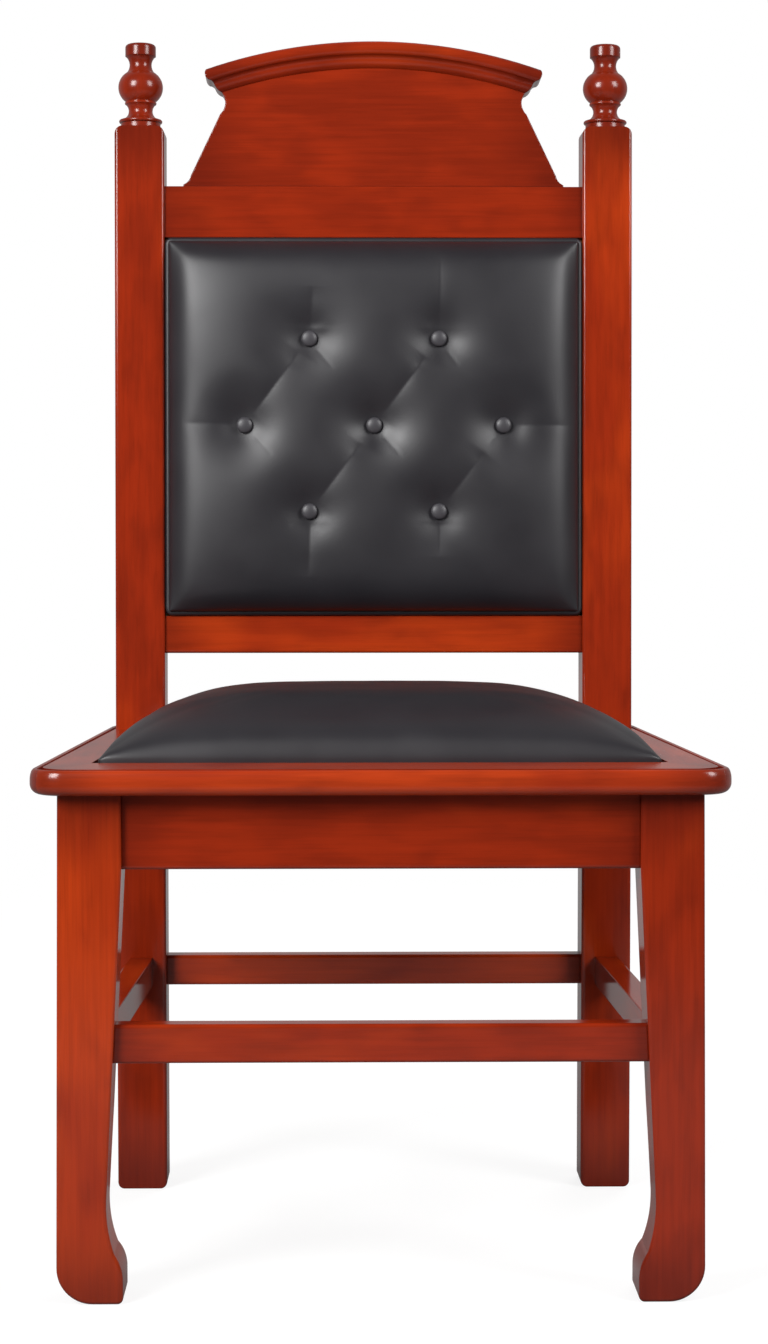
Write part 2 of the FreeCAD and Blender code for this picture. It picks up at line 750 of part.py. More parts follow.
def screws(name, places, radius, low, length, label):
    # driven upwards, with their heads below the piece that they hold
    pieces = []
    headHeight = f"(1.2 * {radius})"
    for index, (x, y) in enumerate(places):
        head = rod(f"{name}Head{index}", f"2 * {radius}", headHeight, (x, y, f"{low} - {headHeight}"))
        shank = rod(f"{name}Shank{index}", radius, length, (x, y, low))
        pieces.append(fused(f"{name}{index}", head, shank))
    keep(together(name, pieces), label)


def seatFrame():
    frame = newBody("SeatFrame")
    slab = drawLoop(newSketch(frame, "XY_Plane", "seatUnder"), seatPlan("0"))
    pad(frame, slab, "seatTop - seatStep - seatUnder")
    ease(frame, "seatEdgeRound", lambda edge: edge.BoundBox.ZLength < 0.1)
    step = drawLoop(newSketch(frame, "XY_Plane", "seatTop - seatStep - overcut"), seatPlan("stepInset"))
    pad(frame, step, "seatStep + overcut")
    recess = drawLoop(newSketch(frame, "XY_Plane", "seatTop"), padPlan("(0 - recessGap)", "recessRound"))
    pocket(frame, recess, "boardThick")
    opening = drawLoop(newSketch(frame, "XY_Plane", "seatTop"), padPlan("ledge", "2 * recessRound"))
    pocket(frame, opening, "seatTop - seatUnder + overcut")
    below, above = "seatUnder - overcut", "seatTop + overcut"
    holes = []
    for side in (-1, 1):
        middle = f"{side} * {postMiddle}"
        halfHole = "(postWidth / 2 + postHoleGap)"
        holes.append(block(
            f"PostHole{side}",
            [f"{middle} - {halfHole}", "rearFace - postHoleGap", below],
            [f"{middle} + {halfHole}", f"{postRear} + postHoleGap", above],
        ))
    throughLedge = f"{ledgeThick} + 2 * overcut"
    holes += screwHoles("BoardScrewHole", boardScrewPlaces, "boardScrew + jointGap", below, throughLedge)
    bite = "frameScrewBite + 2 * overcut"
    holes += screwHoles("FrameScrewHole", frameScrewPlaces, "frameScrew + jointGap", below, bite)
    whole = cut(frame, holes, "SeatFrameCut")

    def mitre(x, y, innerX, innerY, share):
        return (f"{innerX} + {share} * ({x} - {innerX})", f"{innerY} + {share} * ({y} - {innerY})")

    frontInner = ("(padHalfFront - ledge)", "(padFront + ledge)")
    rearInner = ("(padHalfRear - ledge)", "(padRear - ledge)")
    # each mitre line runs from inside the opening to beyond the outer corner
    reach = 1.6
    inside = -0.25
    corners = {
        "frontOut": mitre("seatHalfFront", "seatFront", *frontInner, reach),
        "frontIn": mitre("seatHalfFront", "seatFront", *frontInner, inside),
        "rearOut": mitre("seatHalfRear", "seatRear", *rearInner, reach),
        "rearIn": mitre("seatHalfRear", "seatRear", *rearInner, inside),
    }

    def across(corner):
        x, y = corners[corner]
        return (f"0 - ({x})", y)

    wedges = {
        "front": [corners["frontIn"], across("frontIn"), across("frontOut"), corners["frontOut"]],
        "rear": [corners["rearIn"], corners["rearOut"], across("rearOut"), across("rearIn")],
        "right": [corners["frontIn"], corners["frontOut"], corners["rearOut"], corners["rearIn"]],
    }
    for name, outline in wedges.items():
        wedge = newBody(f"Wedge{name}")
        plan = drawLoop(newSketch(wedge, "XY_Plane", below), outline)
        pad(wedge, plan, f"{above} - ({below})")
        rail = doc.addObject("Part::Common", f"SeatRail{name}")
        rail.Base = whole
        rail.Tool = wedge
        keep(rail, f"seat_{name}_rail")
        if name == "right":
            opposite(rail, "seat_left_rail")


# Corner blocks: glued into the four corners under the seat frame, each bored for a frame screw

def cornerBlocks():
    def apronInnerAt(y):
        share = f"(({y}) - {legRear}) / (rearFace - {legRear})"
        return f"({sideRailFront} - apronThick + ({sideRailRear} - {sideRailFront}) * {share})"

    plans = {
        "front": [
            (f"{legInner} - blockReach", f"{apronFront} + apronThick"),
            (legInner, f"{apronFront} + apronThick"),
            (legInner, legRear),
            (apronInnerAt(legRear), legRear),
            (apronInnerAt(f"{legRear} + blockReach"), f"{legRear} + blockReach"),
        ],
        "rear": [
            (f"{postInner} - blockReach", rearApronFront),
            (apronInnerAt("rearFace - blockReach"), "rearFace - blockReach"),
            (apronInnerAt("rearFace"), "rearFace"),
            (postInner, "rearFace"),
            (postInner, rearApronFront),
        ],
    }
    for name, outline in plans.items():
        corner = newBody(f"CornerBlock{name}")
        pad(corner, drawLoop(newSketch(corner, "XY_Plane", "blockLow"), outline), "seatUnder - blockLow")
        place = frameScrewPlaces[1 if name == "front" else 3]
        hole = screwHoles(f"BlockHole{name}", [place], "frameScrew + jointGap", "blockLow - overcut",
                          "seatUnder - blockLow + 2 * overcut")
        bored = cut(corner, hole, f"CornerBlockCut{name}")
        keep(bored, f"{name}_right_corner_block")
        opposite(bored, f"{name}_left_corner_block")
    screws("FrameScrews", frameScrewPlaces, "frameScrew", "blockLow", "seatUnder - blockLow + frameScrewBite",
           "seat_frame_screws")


# Seat pad: board on the ledge of the recess, domed foam, and a leather cover whose skirt reaches the ledge

def crownedSection(columns, spot, heels):
    # one slice of a crowned pad: arcs along its front or top, straight sides and a straight base
    edges = []
    for left, right in zip(columns, columns[1:]):
        start, middle, end = spot(left), spot((left + right) / 2), spot(right)
        sag = (middle - (start + end) / 2).Length
        edges.append(Part.Arc(start, middle, end).toShape() if sag > 0.02 else Part.makeLine(start, end))
    rightHeel, leftHeel = heels
    edges.append(Part.makeLine(spot(columns[-1]), rightHeel))
    edges.append(Part.makeLine(rightHeel, leftHeel))
    edges.append(Part.makeLine(leftHeel, spot(columns[0])))
    return Part.Wire(edges)


def loftedPad(name, wires, placement=None):
    lofted = doc.addObject("Part::Feature", name)
    lofted.Shape = Part.makeLoft(wires, True, False)
    lofted.Placement = placement or FreeCAD.Placement()
    return lofted


def bothSigns(shares):
    return [-share for share in shares] + [0] + shares[::-1]


def dome(name, inset, low, drop):
    # a pad that follows the seat's plan, drawn in by the inset, with a crown lowered by the drop
    front, rear = number("padFront") + inset, number("padRear") - inset
    halfFront, halfRear = number("padHalfFront") - inset, number("padHalfRear") - inset
    rim, crown = number("seatTop + seatRim") - drop, number("seatCrown - seatRim")
    shares = [1, 0.965, 0.9, 0.78, 0.5]  # of the half width or depth, closer where the crown turns down
    square, fullness = number("seatSquare"), number("seatFullness")

    def section(along):
        y = (front + rear) / 2 + along * (rear - front) / 2
        half = (halfFront + halfRear) / 2 + along * (halfRear - halfFront) / 2
        if abs(along) == 1:
            half -= number("padCorner")

        def spot(across):
            rise = ((1 - abs(across) ** square) * (1 - abs(along) ** square)) ** fullness
            return V(across * half, y, rim + crown * rise)

        return crownedSection(bothSigns(shares), spot, (V(half, y, low), V(-half, y, low)))

    return loftedPad(name, [section(along) for along in bothSigns(shares)])


def seatPad():
    board = newBody("SeatBoard")
    edge = "(coverThick + softGap)"
    plan = drawLoop(newSketch(board, "XY_Plane", "seatTop - boardThick"), padPlan(edge, "padCorner"))
    pad(board, plan, "boardThick")
    bite = f"boardScrewLength - {ledgeThick} + 2 * overcut"
    holes = screwHoles("SeatBoardHole", boardScrewPlaces, "boardScrew + jointGap",
                       "seatTop - boardThick - overcut", bite)
    keep(cut(board, holes, "SeatBoardCut"), "seat_board")
    screws("BoardScrews", boardScrewPlaces, "boardScrew", "seatUnder", "boardScrewLength",
           "seat_board_screws")

    thick, gap = number("coverThick"), number("softGap")
    ledgeTop = number("seatTop - boardThick")
    outer = dome("SeatCoverOuter", 0, ledgeTop, 0)
    inner = dome("SeatCoverInner", thick, ledgeTop - number("overcut"), thick)
    keep(cut(outer, [inner], "SeatCover"), "seat_cover")
    keep(dome("SeatFoam", thick + gap, number("seatTop"), thick + gap), "seat_foam")


def sweepTube(body, section, path):
    pipe = body.newObject("PartDesign::AdditivePipe", "Pipe")
    pipe.Profile = section
    pipe.Spine = (path, [])
    pipe.Mode = "Standard"
    pipe.Transition = "Round corner"
    return pipe


# Back pad: tufted cover over a foam slab and a board, which screws hold to cleats on the posts

backMiddle = "((lowRailHigh + topRailLow) / 2)"
backHalfHigh = "((topRailLow - lowRailHigh) / 2 - backGap)"
backHalfWide = f"({postInner} - backGap)"
tuftHalfHigh = f"({backHalfHigh} - 2 * weltRadius)"
tuftHalfWide = f"({backHalfWide} - 2 * weltRadius)"

# columns and rows of the seven buttons, counted in half diamonds from the middle of the pad
buttonCells = [(-1, 1), (1, 1), (-2, 0), (0, 0), (2, 0), (-1, -1), (1, -1)]


def tuftedDepth(x, z):
    # how far the leather stands proud at a point of the pad: a rounded crown, drawn in at the buttons
    # and, less, along the diagonal creases between them
    wide, high = number(tuftHalfWide), number(tuftHalfHigh)
    acrossCrown = max(1 - (abs(x) / wide) ** 4, 0) ** 0.5
    upCrown = max(1 - (abs(z) / high) ** 4, 0) ** 0.5
    crown = number("backEdge") + (number("backCrown") - number("backEdge")) * acrossCrown * upCrown
    column, row = x / number("buttonPitchX"), z / number("buttonPitchZ")
    rising = math.cos(math.pi * (column + row) / 2) ** 2
    falling = math.cos(math.pi * (column - row) / 2) ** 2
    crease = number("creaseShare")
    pull = crease * max(rising, falling) ** 3 + (1 - crease) * (rising * falling) ** 3
    fade = max(1 - (z / high) ** 2, 0) * max(1 - (x / wide) ** 2, 0) ** 0.5
    return crown - number("tuftDepth") * pull * fade


def tuftedSection(z):
    wide, base = number(tuftHalfWide), number("backFlange")
    half = number("buttonPitchX") / 2
    inner = [half * step for step in range(-5, 6)]
    shoulder = (wide + inner[-1]) / 2 + 4
    height = number(backMiddle) + z

    def spot(x):
        return V(x, -tuftedDepth(x, z), height)

    heels = (V(wide, base, height), V(-wide, base, height))
    return crownedSection([-wide, -shoulder, *inner, shoulder, wide], spot, heels)


def backPad():
    high, pitch = number(tuftHalfHigh), number("buttonPitchZ")
    rows = [pitch * step / 2 for step in range(-3, 4)]
    levels = [-high, -0.965 * high, *rows, 0.965 * high, high]
    tufted = loftedPad("TuftedFront", [tuftedSection(z) for z in levels], leanPlacement())

    def slab(name, wide, tall, near, far):
        low = [f"0 - {wide}", near, f"{backMiddle} - {tall}"]
        high = [wide, far, f"{backMiddle} + {tall}"]
        return block(name, low, high, leaning=True)

    flange = slab("BackFlange", backHalfWide, backHalfHigh, "backFlange", "backBoardFront")
    foamWide, foamHigh = f"({tuftHalfWide} - foamInset)", f"({tuftHalfHigh} - foamInset)"
    foamFront = "backBoardFront - backFoamThick"
    hollow = slab("FoamRoom", f"({foamWide} + softGap)", f"({foamHigh} + softGap)", f"{foamFront} - softGap",
                  "backBoardFront + overcut")
    skin = fused("BackSkin", tufted, flange)

    spots = []
    for column, row in buttonCells:
        x, z = column * number("buttonPitchX"), row * pitch
        height = f"{backMiddle} + {row} * buttonPitchZ"
        spots.append((f"{column} * buttonPitchX", f"0 - {tuftedDepth(x, z)}", height))

    def threads(name, gap):
        reach = "backBoardFront + backBoardThick + 2 * overcut"
        return [
            rod(f"{name}{i}", f"twineRadius + {gap}", f"{reach} - ({y})", (x, y, z), V(0, 1, 0), leaning=True)
            for i, (x, y, z) in enumerate(spots)
        ]

    seats = [
        rod(f"ButtonSeat{i}", "buttonRadius + softGap", "backCrown", place, V(0, -1, 0), leaning=True)
        for i, place in enumerate(spots)
    ]
    keep(cut(skin, [hollow, *seats, *threads("CoverHole", "softGap")], "BackCover"), "back_cover")
    foam = slab("BackFoam", foamWide, foamHigh, foamFront, "backBoardFront")
    keep(cut(foam, threads("FoamHole", "softGap"), "BackFoamCut"), "back_foam")
    keep(together("Twines", threads("Twine", "0")), "tufting_twines")

    button = newBody("Button")
    half = drawLoop(newSketch(button, "XZ_Plane"), [
        ("0", "0"),
        ("buttonRadius - 1", "0"),
        ("buttonRadius", "0.2 * buttonHeight", "buttonRadius - 0.6", "0.4 * buttonHeight"),
        ("0.55 * buttonRadius", "0.87 * buttonHeight", "0.1 * buttonRadius", "buttonHeight"),
        ("0", "buttonHeight"),
    ])
    revolve(button, half, "V_Axis")
    doc.recompute()
    buttons = doc.addObject("Part::Feature", "Buttons")
    copies = []
    facing = FreeCAD.Rotation(V(0, 0, 1), V(0, -1, 0))
    for x, y, z in spots:
        place = FreeCAD.Placement(V(number(x), number(y), number(z)), facing)
        copy = button.Shape.copy()
        copy.Placement = leanPlacement().multiply(place)
        copies.append(copy)
    buttons.Shape = Part.Compound(copies)
    keep(buttons, "back_buttons")

    boardRear = "backBoardFront + backBoardThick"
    cleatRear = f"{boardRear} + cleatSize"
    board = slab("BackBoard", backHalfWide, backHalfHigh, "backBoardFront", boardRear)
    screwX = f"({postInner} - cleatSize / 2)"
    places = [
        (f"{side} * {screwX}", cleatRear, f"{backMiddle} + {rise} * cleatScrewRise")
        for side in (-1, 1)
        for rise in (-1, 0, 1)
    ]

    def cleatScrews(name, gap):
        # driven forwards, with their heads sunk in the rear of the cleats
        forwards = V(0, -1, 0)
        length = "cleatSize + backBoardThick - 2 * overcut"
        pieces = []
        for i, place in enumerate(places):
            head = rod(f"{name}Head{i}", f"2 * boardScrew + {gap}", "sunkHead", place, forwards, leaning=True)
            shank = rod(f"{name}Shank{i}", f"boardScrew + {gap}", length, place, forwards, leaning=True)
            pieces.append(fused(f"{name}{i}", head, shank))
        return pieces

    boardHoles = [*threads("BoardHole", "softGap"), *cleatScrews("BoardScrewRoom", "jointGap")]
    keep(cut(board, boardHoles, "BackBoardCut"), "back_board")
    cleatLow, cleatHigh = f"{backMiddle} - {backHalfHigh}", f"{backMiddle} + {backHalfHigh}"
    cleatInner = f"{postInner} - cleatSize"
    cleat = block("Cleat", [cleatInner, boardRear, cleatLow], [postInner, cleatRear, cleatHigh], leaning=True)
    bothHands(cut(cleat, cleatScrews("CleatRoom", "jointGap"), "CleatCut"), "back_cleat")
    keep(together("CleatScrews", cleatScrews("CleatScrew", "0")), "back_board_screws")
    rearPanel = slab("RearPanel", backHalfWide, backHalfHigh, cleatRear, f"{cleatRear} + rearPanelThick")
    keep(rearPanel, "back_rear_panel")

    welt = newBody("BackWelt")
    wide, tall = f"({backHalfWide} - weltRadius)", f"({backHalfHigh} - weltRadius)"
    deep = "backFlange - weltRadius"
    corners = [(-1, -1), (1, -1), (1, 1), (-1, 1)]
    path = drawLoop(newSketch(welt, "XZ_Plane", f"0 - ({deep})"), [
        (f"{x} * {wide}", f"{backMiddle} + {z} * {tall}", "weltRound")
        for x, z in corners
    ])
    section = drawCircle(newSketch(welt, "YZ_Plane"), deep, f"{backMiddle} - {tall}", "weltRadius")
    sweepTube(welt, section, path)
    keep(leanBack(welt), "back_welt")


frontLegs()
rearPosts()
finials()
crossRails()
sideRails()
crestPanel()
crestMoulding()
seatFrame()
cornerBlocks()
seatPad()
backPad()
doc.recompute()

failed = [item.Name for item in doc.Objects if "Invalid" in item.State or "Error" in item.State]
if failed:
    raise RuntimeError(f"failed objects: {failed}")
for item in subParts:
    if item.Shape.isNull() or not item.Shape.isValid():
        raise RuntimeError(f"{item.Label} has no valid shape")

os.makedirs("parts", exist_ok=True)
for item in subParts:
    item.Shape.exportStep(f"parts/{item.Label}.step")
print(f"{len(subParts)} pieces written")
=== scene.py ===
import json
import math

import bmesh
import bpy
import numpy as np
from mathutils import Matrix, Vector, noise

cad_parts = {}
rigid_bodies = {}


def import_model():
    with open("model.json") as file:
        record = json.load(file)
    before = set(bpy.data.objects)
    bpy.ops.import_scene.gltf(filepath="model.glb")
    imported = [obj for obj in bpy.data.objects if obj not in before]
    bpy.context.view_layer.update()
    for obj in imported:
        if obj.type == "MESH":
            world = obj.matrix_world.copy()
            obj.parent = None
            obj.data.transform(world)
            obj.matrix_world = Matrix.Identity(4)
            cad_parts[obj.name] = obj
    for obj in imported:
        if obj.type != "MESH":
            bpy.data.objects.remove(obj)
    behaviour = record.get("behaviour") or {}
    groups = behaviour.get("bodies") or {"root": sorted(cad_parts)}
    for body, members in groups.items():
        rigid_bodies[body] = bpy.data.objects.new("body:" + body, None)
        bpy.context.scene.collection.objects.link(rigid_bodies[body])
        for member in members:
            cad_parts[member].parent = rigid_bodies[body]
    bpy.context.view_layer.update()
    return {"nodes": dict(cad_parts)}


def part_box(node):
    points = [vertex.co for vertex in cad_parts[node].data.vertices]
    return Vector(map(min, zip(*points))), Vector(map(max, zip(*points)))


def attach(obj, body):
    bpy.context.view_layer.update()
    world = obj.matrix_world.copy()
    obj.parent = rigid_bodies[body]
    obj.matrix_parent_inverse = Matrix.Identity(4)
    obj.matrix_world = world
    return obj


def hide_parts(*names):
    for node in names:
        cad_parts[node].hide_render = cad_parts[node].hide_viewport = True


for leftover in list(bpy.data.objects):  # Blender's own start objects
    bpy.data.objects.remove(leftover)
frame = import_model()
print("frame loaded:", len(frame["nodes"]), "nodes")

mm = 0.001

# the back's own frame: x across, y backwards from the front of the posts, z up along them
lean = {"rearFace": 169 * mm, "knee": 420 * mm, "rake": math.radians(2.3)}
leanMatrix = (
    Matrix.Translation((0, lean["rearFace"], lean["knee"]))
    @ Matrix.Rotation(-lean["rake"], 4, "X")
)


def hexColour(code):
    shares = [int(code[i:i + 2], 16) / 255 for i in (1, 3, 5)]
    linear = [c / 12.92 if c <= 0.04045 else ((c + 0.055) / 1.055) ** 2.4 for c in shares]
    return (*linear, 1.0)


def addNode(tree, kind, settings=None, inputs=None):
    made = tree.nodes.new(kind)
    for name, value in (settings or {}).items():
        setattr(made, name, value)
    for socket, value in (inputs or {}).items():
        if isinstance(value, bpy.types.NodeSocket):
            tree.links.new(value, made.inputs[socket])
        else:
            made.inputs[socket].default_value = value
    return made


def newMaterial(name):
    material = bpy.data.materials.new(name)
    material.use_nodes = True
    tree = material.node_tree
    tree.nodes.clear()
    shader = addNode(tree, "ShaderNodeBsdfPrincipled")
    addNode(tree, "ShaderNodeOutputMaterial", inputs={"Surface": shader.outputs["BSDF"]})
    return material, tree, shader


def newPiece(name, mesh):
    piece = bpy.data.objects.new(name, mesh)
    bpy.context.scene.collection.objects.link(piece)
    return piece


# Materials

wood = {
    "bright": "#AE370E", "body": "#93280C", "deep": "#5C160A",
    "blotch": 60, "cloud": 24, "streak": 4.0, "pore": 0.9, "flow": 9,  # sizes across the grain, in mm
    "drawnOut": {"blotch": 0.42, "streak": 1 / 24, "pore": 1 / 40},  # smaller is longer along the grain
    "roughness": 0.5, "coatRoughness": 0.13, "roundedCoat": 0.22,
    "grainBump": 0.15, "flowBump": 0.08, "bumpDepth": 0.10 * mm,
    "edge": 1.6 * mm, "beadEdge": 0.5 * mm, "endStain": 70 * mm,
}

grainTurns = {  # turns the piece so that its grain runs along the pattern's z
    "z": (0, 0, 0),
    "x": (0, math.radians(-90), 0),
    "y": (math.radians(90), 0, 0),
}


def mahoganyStainedLacquered(node, grain, shift, tone, edge):
    # hardwood wiped with red-brown stain that lies blotchy, under clear gloss lacquer:
    # a deep, uneven colour with sharp reflections
    material, tree, shader = newMaterial("mahoganyStainedLacquered_" + node)
    spot = addNode(tree, "ShaderNodeTexCoord")
    board = addNode(tree, "ShaderNodeMapping", inputs={
        "Vector": spot.outputs["Object"],
        "Location": shift,
        "Rotation": grainTurns[grain],
        "Scale": (1 / mm, 1 / mm, 1 / mm),
    }).outputs["Vector"]
    drawn = {}
    for label, squeeze in wood["drawnOut"].items():
        drawn[label] = addNode(tree, "ShaderNodeMapping", inputs={
            "Vector": board, "Scale": (1, 1, squeeze),
        }).outputs["Vector"]
    blotch = addNode(tree, "ShaderNodeTexNoise", inputs={
        "Vector": drawn["blotch"], "Scale": 1 / wood["blotch"], "Detail": 2.0, "Distortion": 0.2,
    }).outputs["Fac"]
    cloud = addNode(tree, "ShaderNodeTexNoise", inputs={
        "Vector": drawn["blotch"], "Scale": 1 / wood["cloud"], "Detail": 1.8, "Distortion": 0.25,
    }).outputs["Fac"]
    streak = addNode(tree, "ShaderNodeTexNoise", inputs={
        "Vector": drawn["streak"], "Scale": 1 / wood["streak"], "Detail": 4.0, "Roughness": 0.6,
    }).outputs["Fac"]
    pore = addNode(tree, "ShaderNodeTexNoise", inputs={
        "Vector": drawn["pore"], "Scale": 1 / wood["pore"], "Detail": 1.0,
    }).outputs["Fac"]
    axis = "xyz".index(grain)
    low, high = (corner[axis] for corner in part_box(node))
    half = (high - low) / 2
    along = addNode(tree, "ShaderNodeSeparateXYZ", inputs={"Vector": spot.outputs["Object"]}).outputs[axis]
    middle = addNode(tree, "ShaderNodeMath", {"operation": "SUBTRACT"}, {
        0: along, 1: (low + high) / 2,
    }).outputs[0]
    reach = addNode(tree, "ShaderNodeMath", {"operation": "ABSOLUTE"}, {0: middle}).outputs[0]
    shares = {}
    for label, value, least, most, start, end in (  # stain is deeper at the ends, where end grain drinks it
        ("body", blotch, 0.32 - tone, 0.66 - tone, 0, 1),
        ("deep", cloud, 0.46 - tone / 2, 0.85 - tone / 2, 0, 0.36),
        ("ends", reach, half - wood["endStain"], half, 0, 0.65),
        ("streak", streak, 0.30, 0.70, 0.90, 1.07),
        ("pore", pore, 0.32, 0.46, 0.93, 1),
    ):
        shares[label] = addNode(tree, "ShaderNodeMapRange", {"interpolation_type": "SMOOTHSTEP"}, {
            "Value": value, "From Min": least, "From Max": most, "To Min": start, "To Max": end,
        }).outputs["Result"]
    colour = hexColour(wood["bright"])
    for label, stain in (("body", "body"), ("deep", "deep"), ("ends", "deep")):
        colour = addNode(tree, "ShaderNodeMix", {"data_type": "RGBA"}, {
            0: shares[label], 6: colour, 7: hexColour(wood[stain]),
        }).outputs[2]
    for label in ("streak", "pore"):
        colour = addNode(tree, "ShaderNodeMix", {"data_type": "RGBA", "blend_type": "MULTIPLY"}, {
            0: 1.0, 6: colour, 7: shares[label],
        }).outputs[2]
    eased = addNode(tree, "ShaderNodeBevel", {"samples": 6}, {"Radius": edge}).outputs["Normal"]
    grainBump = addNode(tree, "ShaderNodeBump", inputs={
        "Height": streak, "Strength": wood["grainBump"], "Distance": wood["bumpDepth"], "Normal": eased,
    }).outputs["Normal"]
    flow = addNode(tree, "ShaderNodeTexNoise", inputs={
        "Vector": board, "Scale": 1 / wood["flow"], "Detail": 1.0,
    }).outputs["Fac"]
    lacquerBump = addNode(tree, "ShaderNodeBump", inputs={
        "Height": flow, "Strength": wood["flowBump"], "Distance": wood["bumpDepth"], "Normal": eased,
    }).outputs["Normal"]
    tree.links.new(colour, shader.inputs["Base Color"])
    tree.links.new(grainBump, shader.inputs["Normal"])
    tree.links.new(lacquerBump, shader.inputs["Coat Normal"])
    shader.inputs["Roughness"].default_value = wood["roughness"]
    shader.inputs["Specular IOR Level"].default_value = 0.0  # the lacquer alone shines
    shader.inputs["Coat Weight"].default_value = 1.0
    rounded = "finial" in node or node in seatRails  # lacquer lies less smooth on rounded pieces
    shader.inputs["Coat Roughness"].default_value = wood["roundedCoat" if rounded else "coatRoughness"]
    shader.inputs["Coat IOR"].default_value = 1.5
    return material


leather = {
    # the buttons' colours are painted paler than the pads', as painted light for the light they catch
    "colours": {"pads": ("#1B191E", "#242227"), "buttons": ("#38363A", "#424045")},
    "grain": 1.6, "pebble": 0.7, "patch": 60,  # sizes in mm, the grain coarser than life so that it shows
    "roughness": (0.42, 0.49), "gloss": 0.71,
    "grainBump": 0.22, "grainDepth": 0.10 * mm, "pebbleBump": 0.18, "pebbleDepth": 0.05 * mm,
}


def cowhideFinishedBlack(name, use):
    # upholstery hide with a pigmented, rolled finish: near black, satin, with a fine even grain
    body, worn = leather["colours"][use]
    material, tree, shader = newMaterial(name)
    spot = addNode(tree, "ShaderNodeTexCoord")
    hide = addNode(tree, "ShaderNodeMapping", inputs={
        "Vector": spot.outputs["Object"], "Scale": (1 / mm, 1 / mm, 1 / mm),
    }).outputs["Vector"]
    patch = addNode(tree, "ShaderNodeTexNoise", inputs={
        "Vector": hide, "Scale": 1 / leather["patch"], "Detail": 3.0,
    }).outputs["Fac"]
    cells = addNode(tree, "ShaderNodeTexVoronoi", {"feature": "SMOOTH_F1"}, {
        "Vector": hide, "Scale": 1 / leather["grain"], "Smoothness": 0.4, "Randomness": 1.0,
    }).outputs["Distance"]
    pebble = addNode(tree, "ShaderNodeTexNoise", inputs={
        "Vector": hide, "Scale": 1 / leather["pebble"], "Detail": 2.0,
    }).outputs["Fac"]
    colour = addNode(tree, "ShaderNodeMix", {"data_type": "RGBA"}, {
        0: patch, 6: hexColour(body), 7: hexColour(worn),
    }).outputs[2]
    smooth, dull = leather["roughness"]
    sheen = addNode(tree, "ShaderNodeMapRange", inputs={
        "Value": patch, "From Min": 0.3, "From Max": 0.7, "To Min": smooth, "To Max": dull,
    }).outputs["Result"]
    cellBump = addNode(tree, "ShaderNodeBump", inputs={
        "Height": cells, "Strength": leather["grainBump"], "Distance": leather["grainDepth"],
    }).outputs["Normal"]
    fineBump = addNode(tree, "ShaderNodeBump", inputs={
        "Height": pebble, "Strength": leather["pebbleBump"], "Distance": leather["pebbleDepth"],
        "Normal": cellBump,
    }).outputs["Normal"]
    tree.links.new(colour, shader.inputs["Base Color"])
    tree.links.new(sheen, shader.inputs["Roughness"])
    tree.links.new(fineBump, shader.inputs["Normal"])
    shader.inputs["IOR"].default_value = 1.5
    shader.inputs["Specular IOR Level"].default_value = leather["gloss"]
    return material


rawTimber = {  # rings in mm, drawn out along the grain
    "softwood": {"pale": "#C49A66", "dark": "#9A6C3C", "ring": 7, "drawnOut": 1 / 18, "grain": "x"},
    "plywood": {"pale": "#CDAA78", "dark": "#AB8450", "ring": 16, "drawnOut": 1 / 18, "grain": "x"},
}


def timberSawn(name, kind):
    # bare timber off the saw: matt, with soft growth bands along the grain
    values = rawTimber[kind]
    material, tree, shader = newMaterial(name)
    spot = addNode(tree, "ShaderNodeTexCoord")
    board = addNode(tree, "ShaderNodeMapping", inputs={
        "Vector": spot.outputs["Object"],
        "Rotation": grainTurns[values["grain"]],
        "Scale": (1 / mm, 1 / mm, 1 / mm),
    }).outputs["Vector"]
    drawn = addNode(tree, "ShaderNodeMapping", inputs={
        "Vector": board, "Scale": (1, 1, values["drawnOut"]),
    }).outputs["Vector"]
    ring = addNode(tree, "ShaderNodeTexNoise", inputs={
        "Vector": drawn, "Scale": 1 / values["ring"], "Detail": 4.0, "Distortion": 0.8,
    }).outputs["Fac"]
    share = addNode(tree, "ShaderNodeMapRange", inputs={
        "Value": ring, "From Min": 0.35, "From Max": 0.65,
    }).outputs["Result"]
    colour = addNode(tree, "ShaderNodeMix", {"data_type": "RGBA"}, {
        0: share, 6: hexColour(values["pale"]), 7: hexColour(values["dark"]),
    }).outputs[2]
    bump = addNode(tree, "ShaderNodeBump", inputs={
        "Height": ring, "Strength": 0.4, "Distance": 0.2 * mm,
    }).outputs["Normal"]
    tree.links.new(colour, shader.inputs["Base Color"])
    tree.links.new(bump, shader.inputs["Normal"])
    shader.inputs["Roughness"].default_value = 0.7
    return material


fittings = {
    "zinc": "#B9B6AE", "tarnish": "#8F8B80", "bloom": 1.5 * mm, "zincRoughness": (0.25, 0.45),
    "flax": "#B39C72", "flaxShade": "#7D6946", "twist": 15.08 * mm, "flaxRoughness": 0.8,
}


def steelZincPlated(name):
    # wood screws: bright zinc with a dull bloom
    material, tree, shader = newMaterial(name)
    spot = addNode(tree, "ShaderNodeTexCoord")
    bloom = addNode(tree, "ShaderNodeTexNoise", inputs={
        "Vector": spot.outputs["Object"], "Scale": 1 / fittings["bloom"], "Detail": 3.0,
    }).outputs["Fac"]
    colour = addNode(tree, "ShaderNodeMix", {"data_type": "RGBA"}, {
        0: bloom, 6: hexColour(fittings["zinc"]), 7: hexColour(fittings["tarnish"]),
    }).outputs[2]
    bright, dull = fittings["zincRoughness"]
    sheen = addNode(tree, "ShaderNodeMapRange", inputs={
        "Value": bloom, "From Min": 0.3, "From Max": 0.7, "To Min": bright, "To Max": dull,
    }).outputs["Result"]
    tree.links.new(colour, shader.inputs["Base Color"])
    tree.links.new(sheen, shader.inputs["Roughness"])
    shader.inputs["Metallic"].default_value = 1.0
    return material


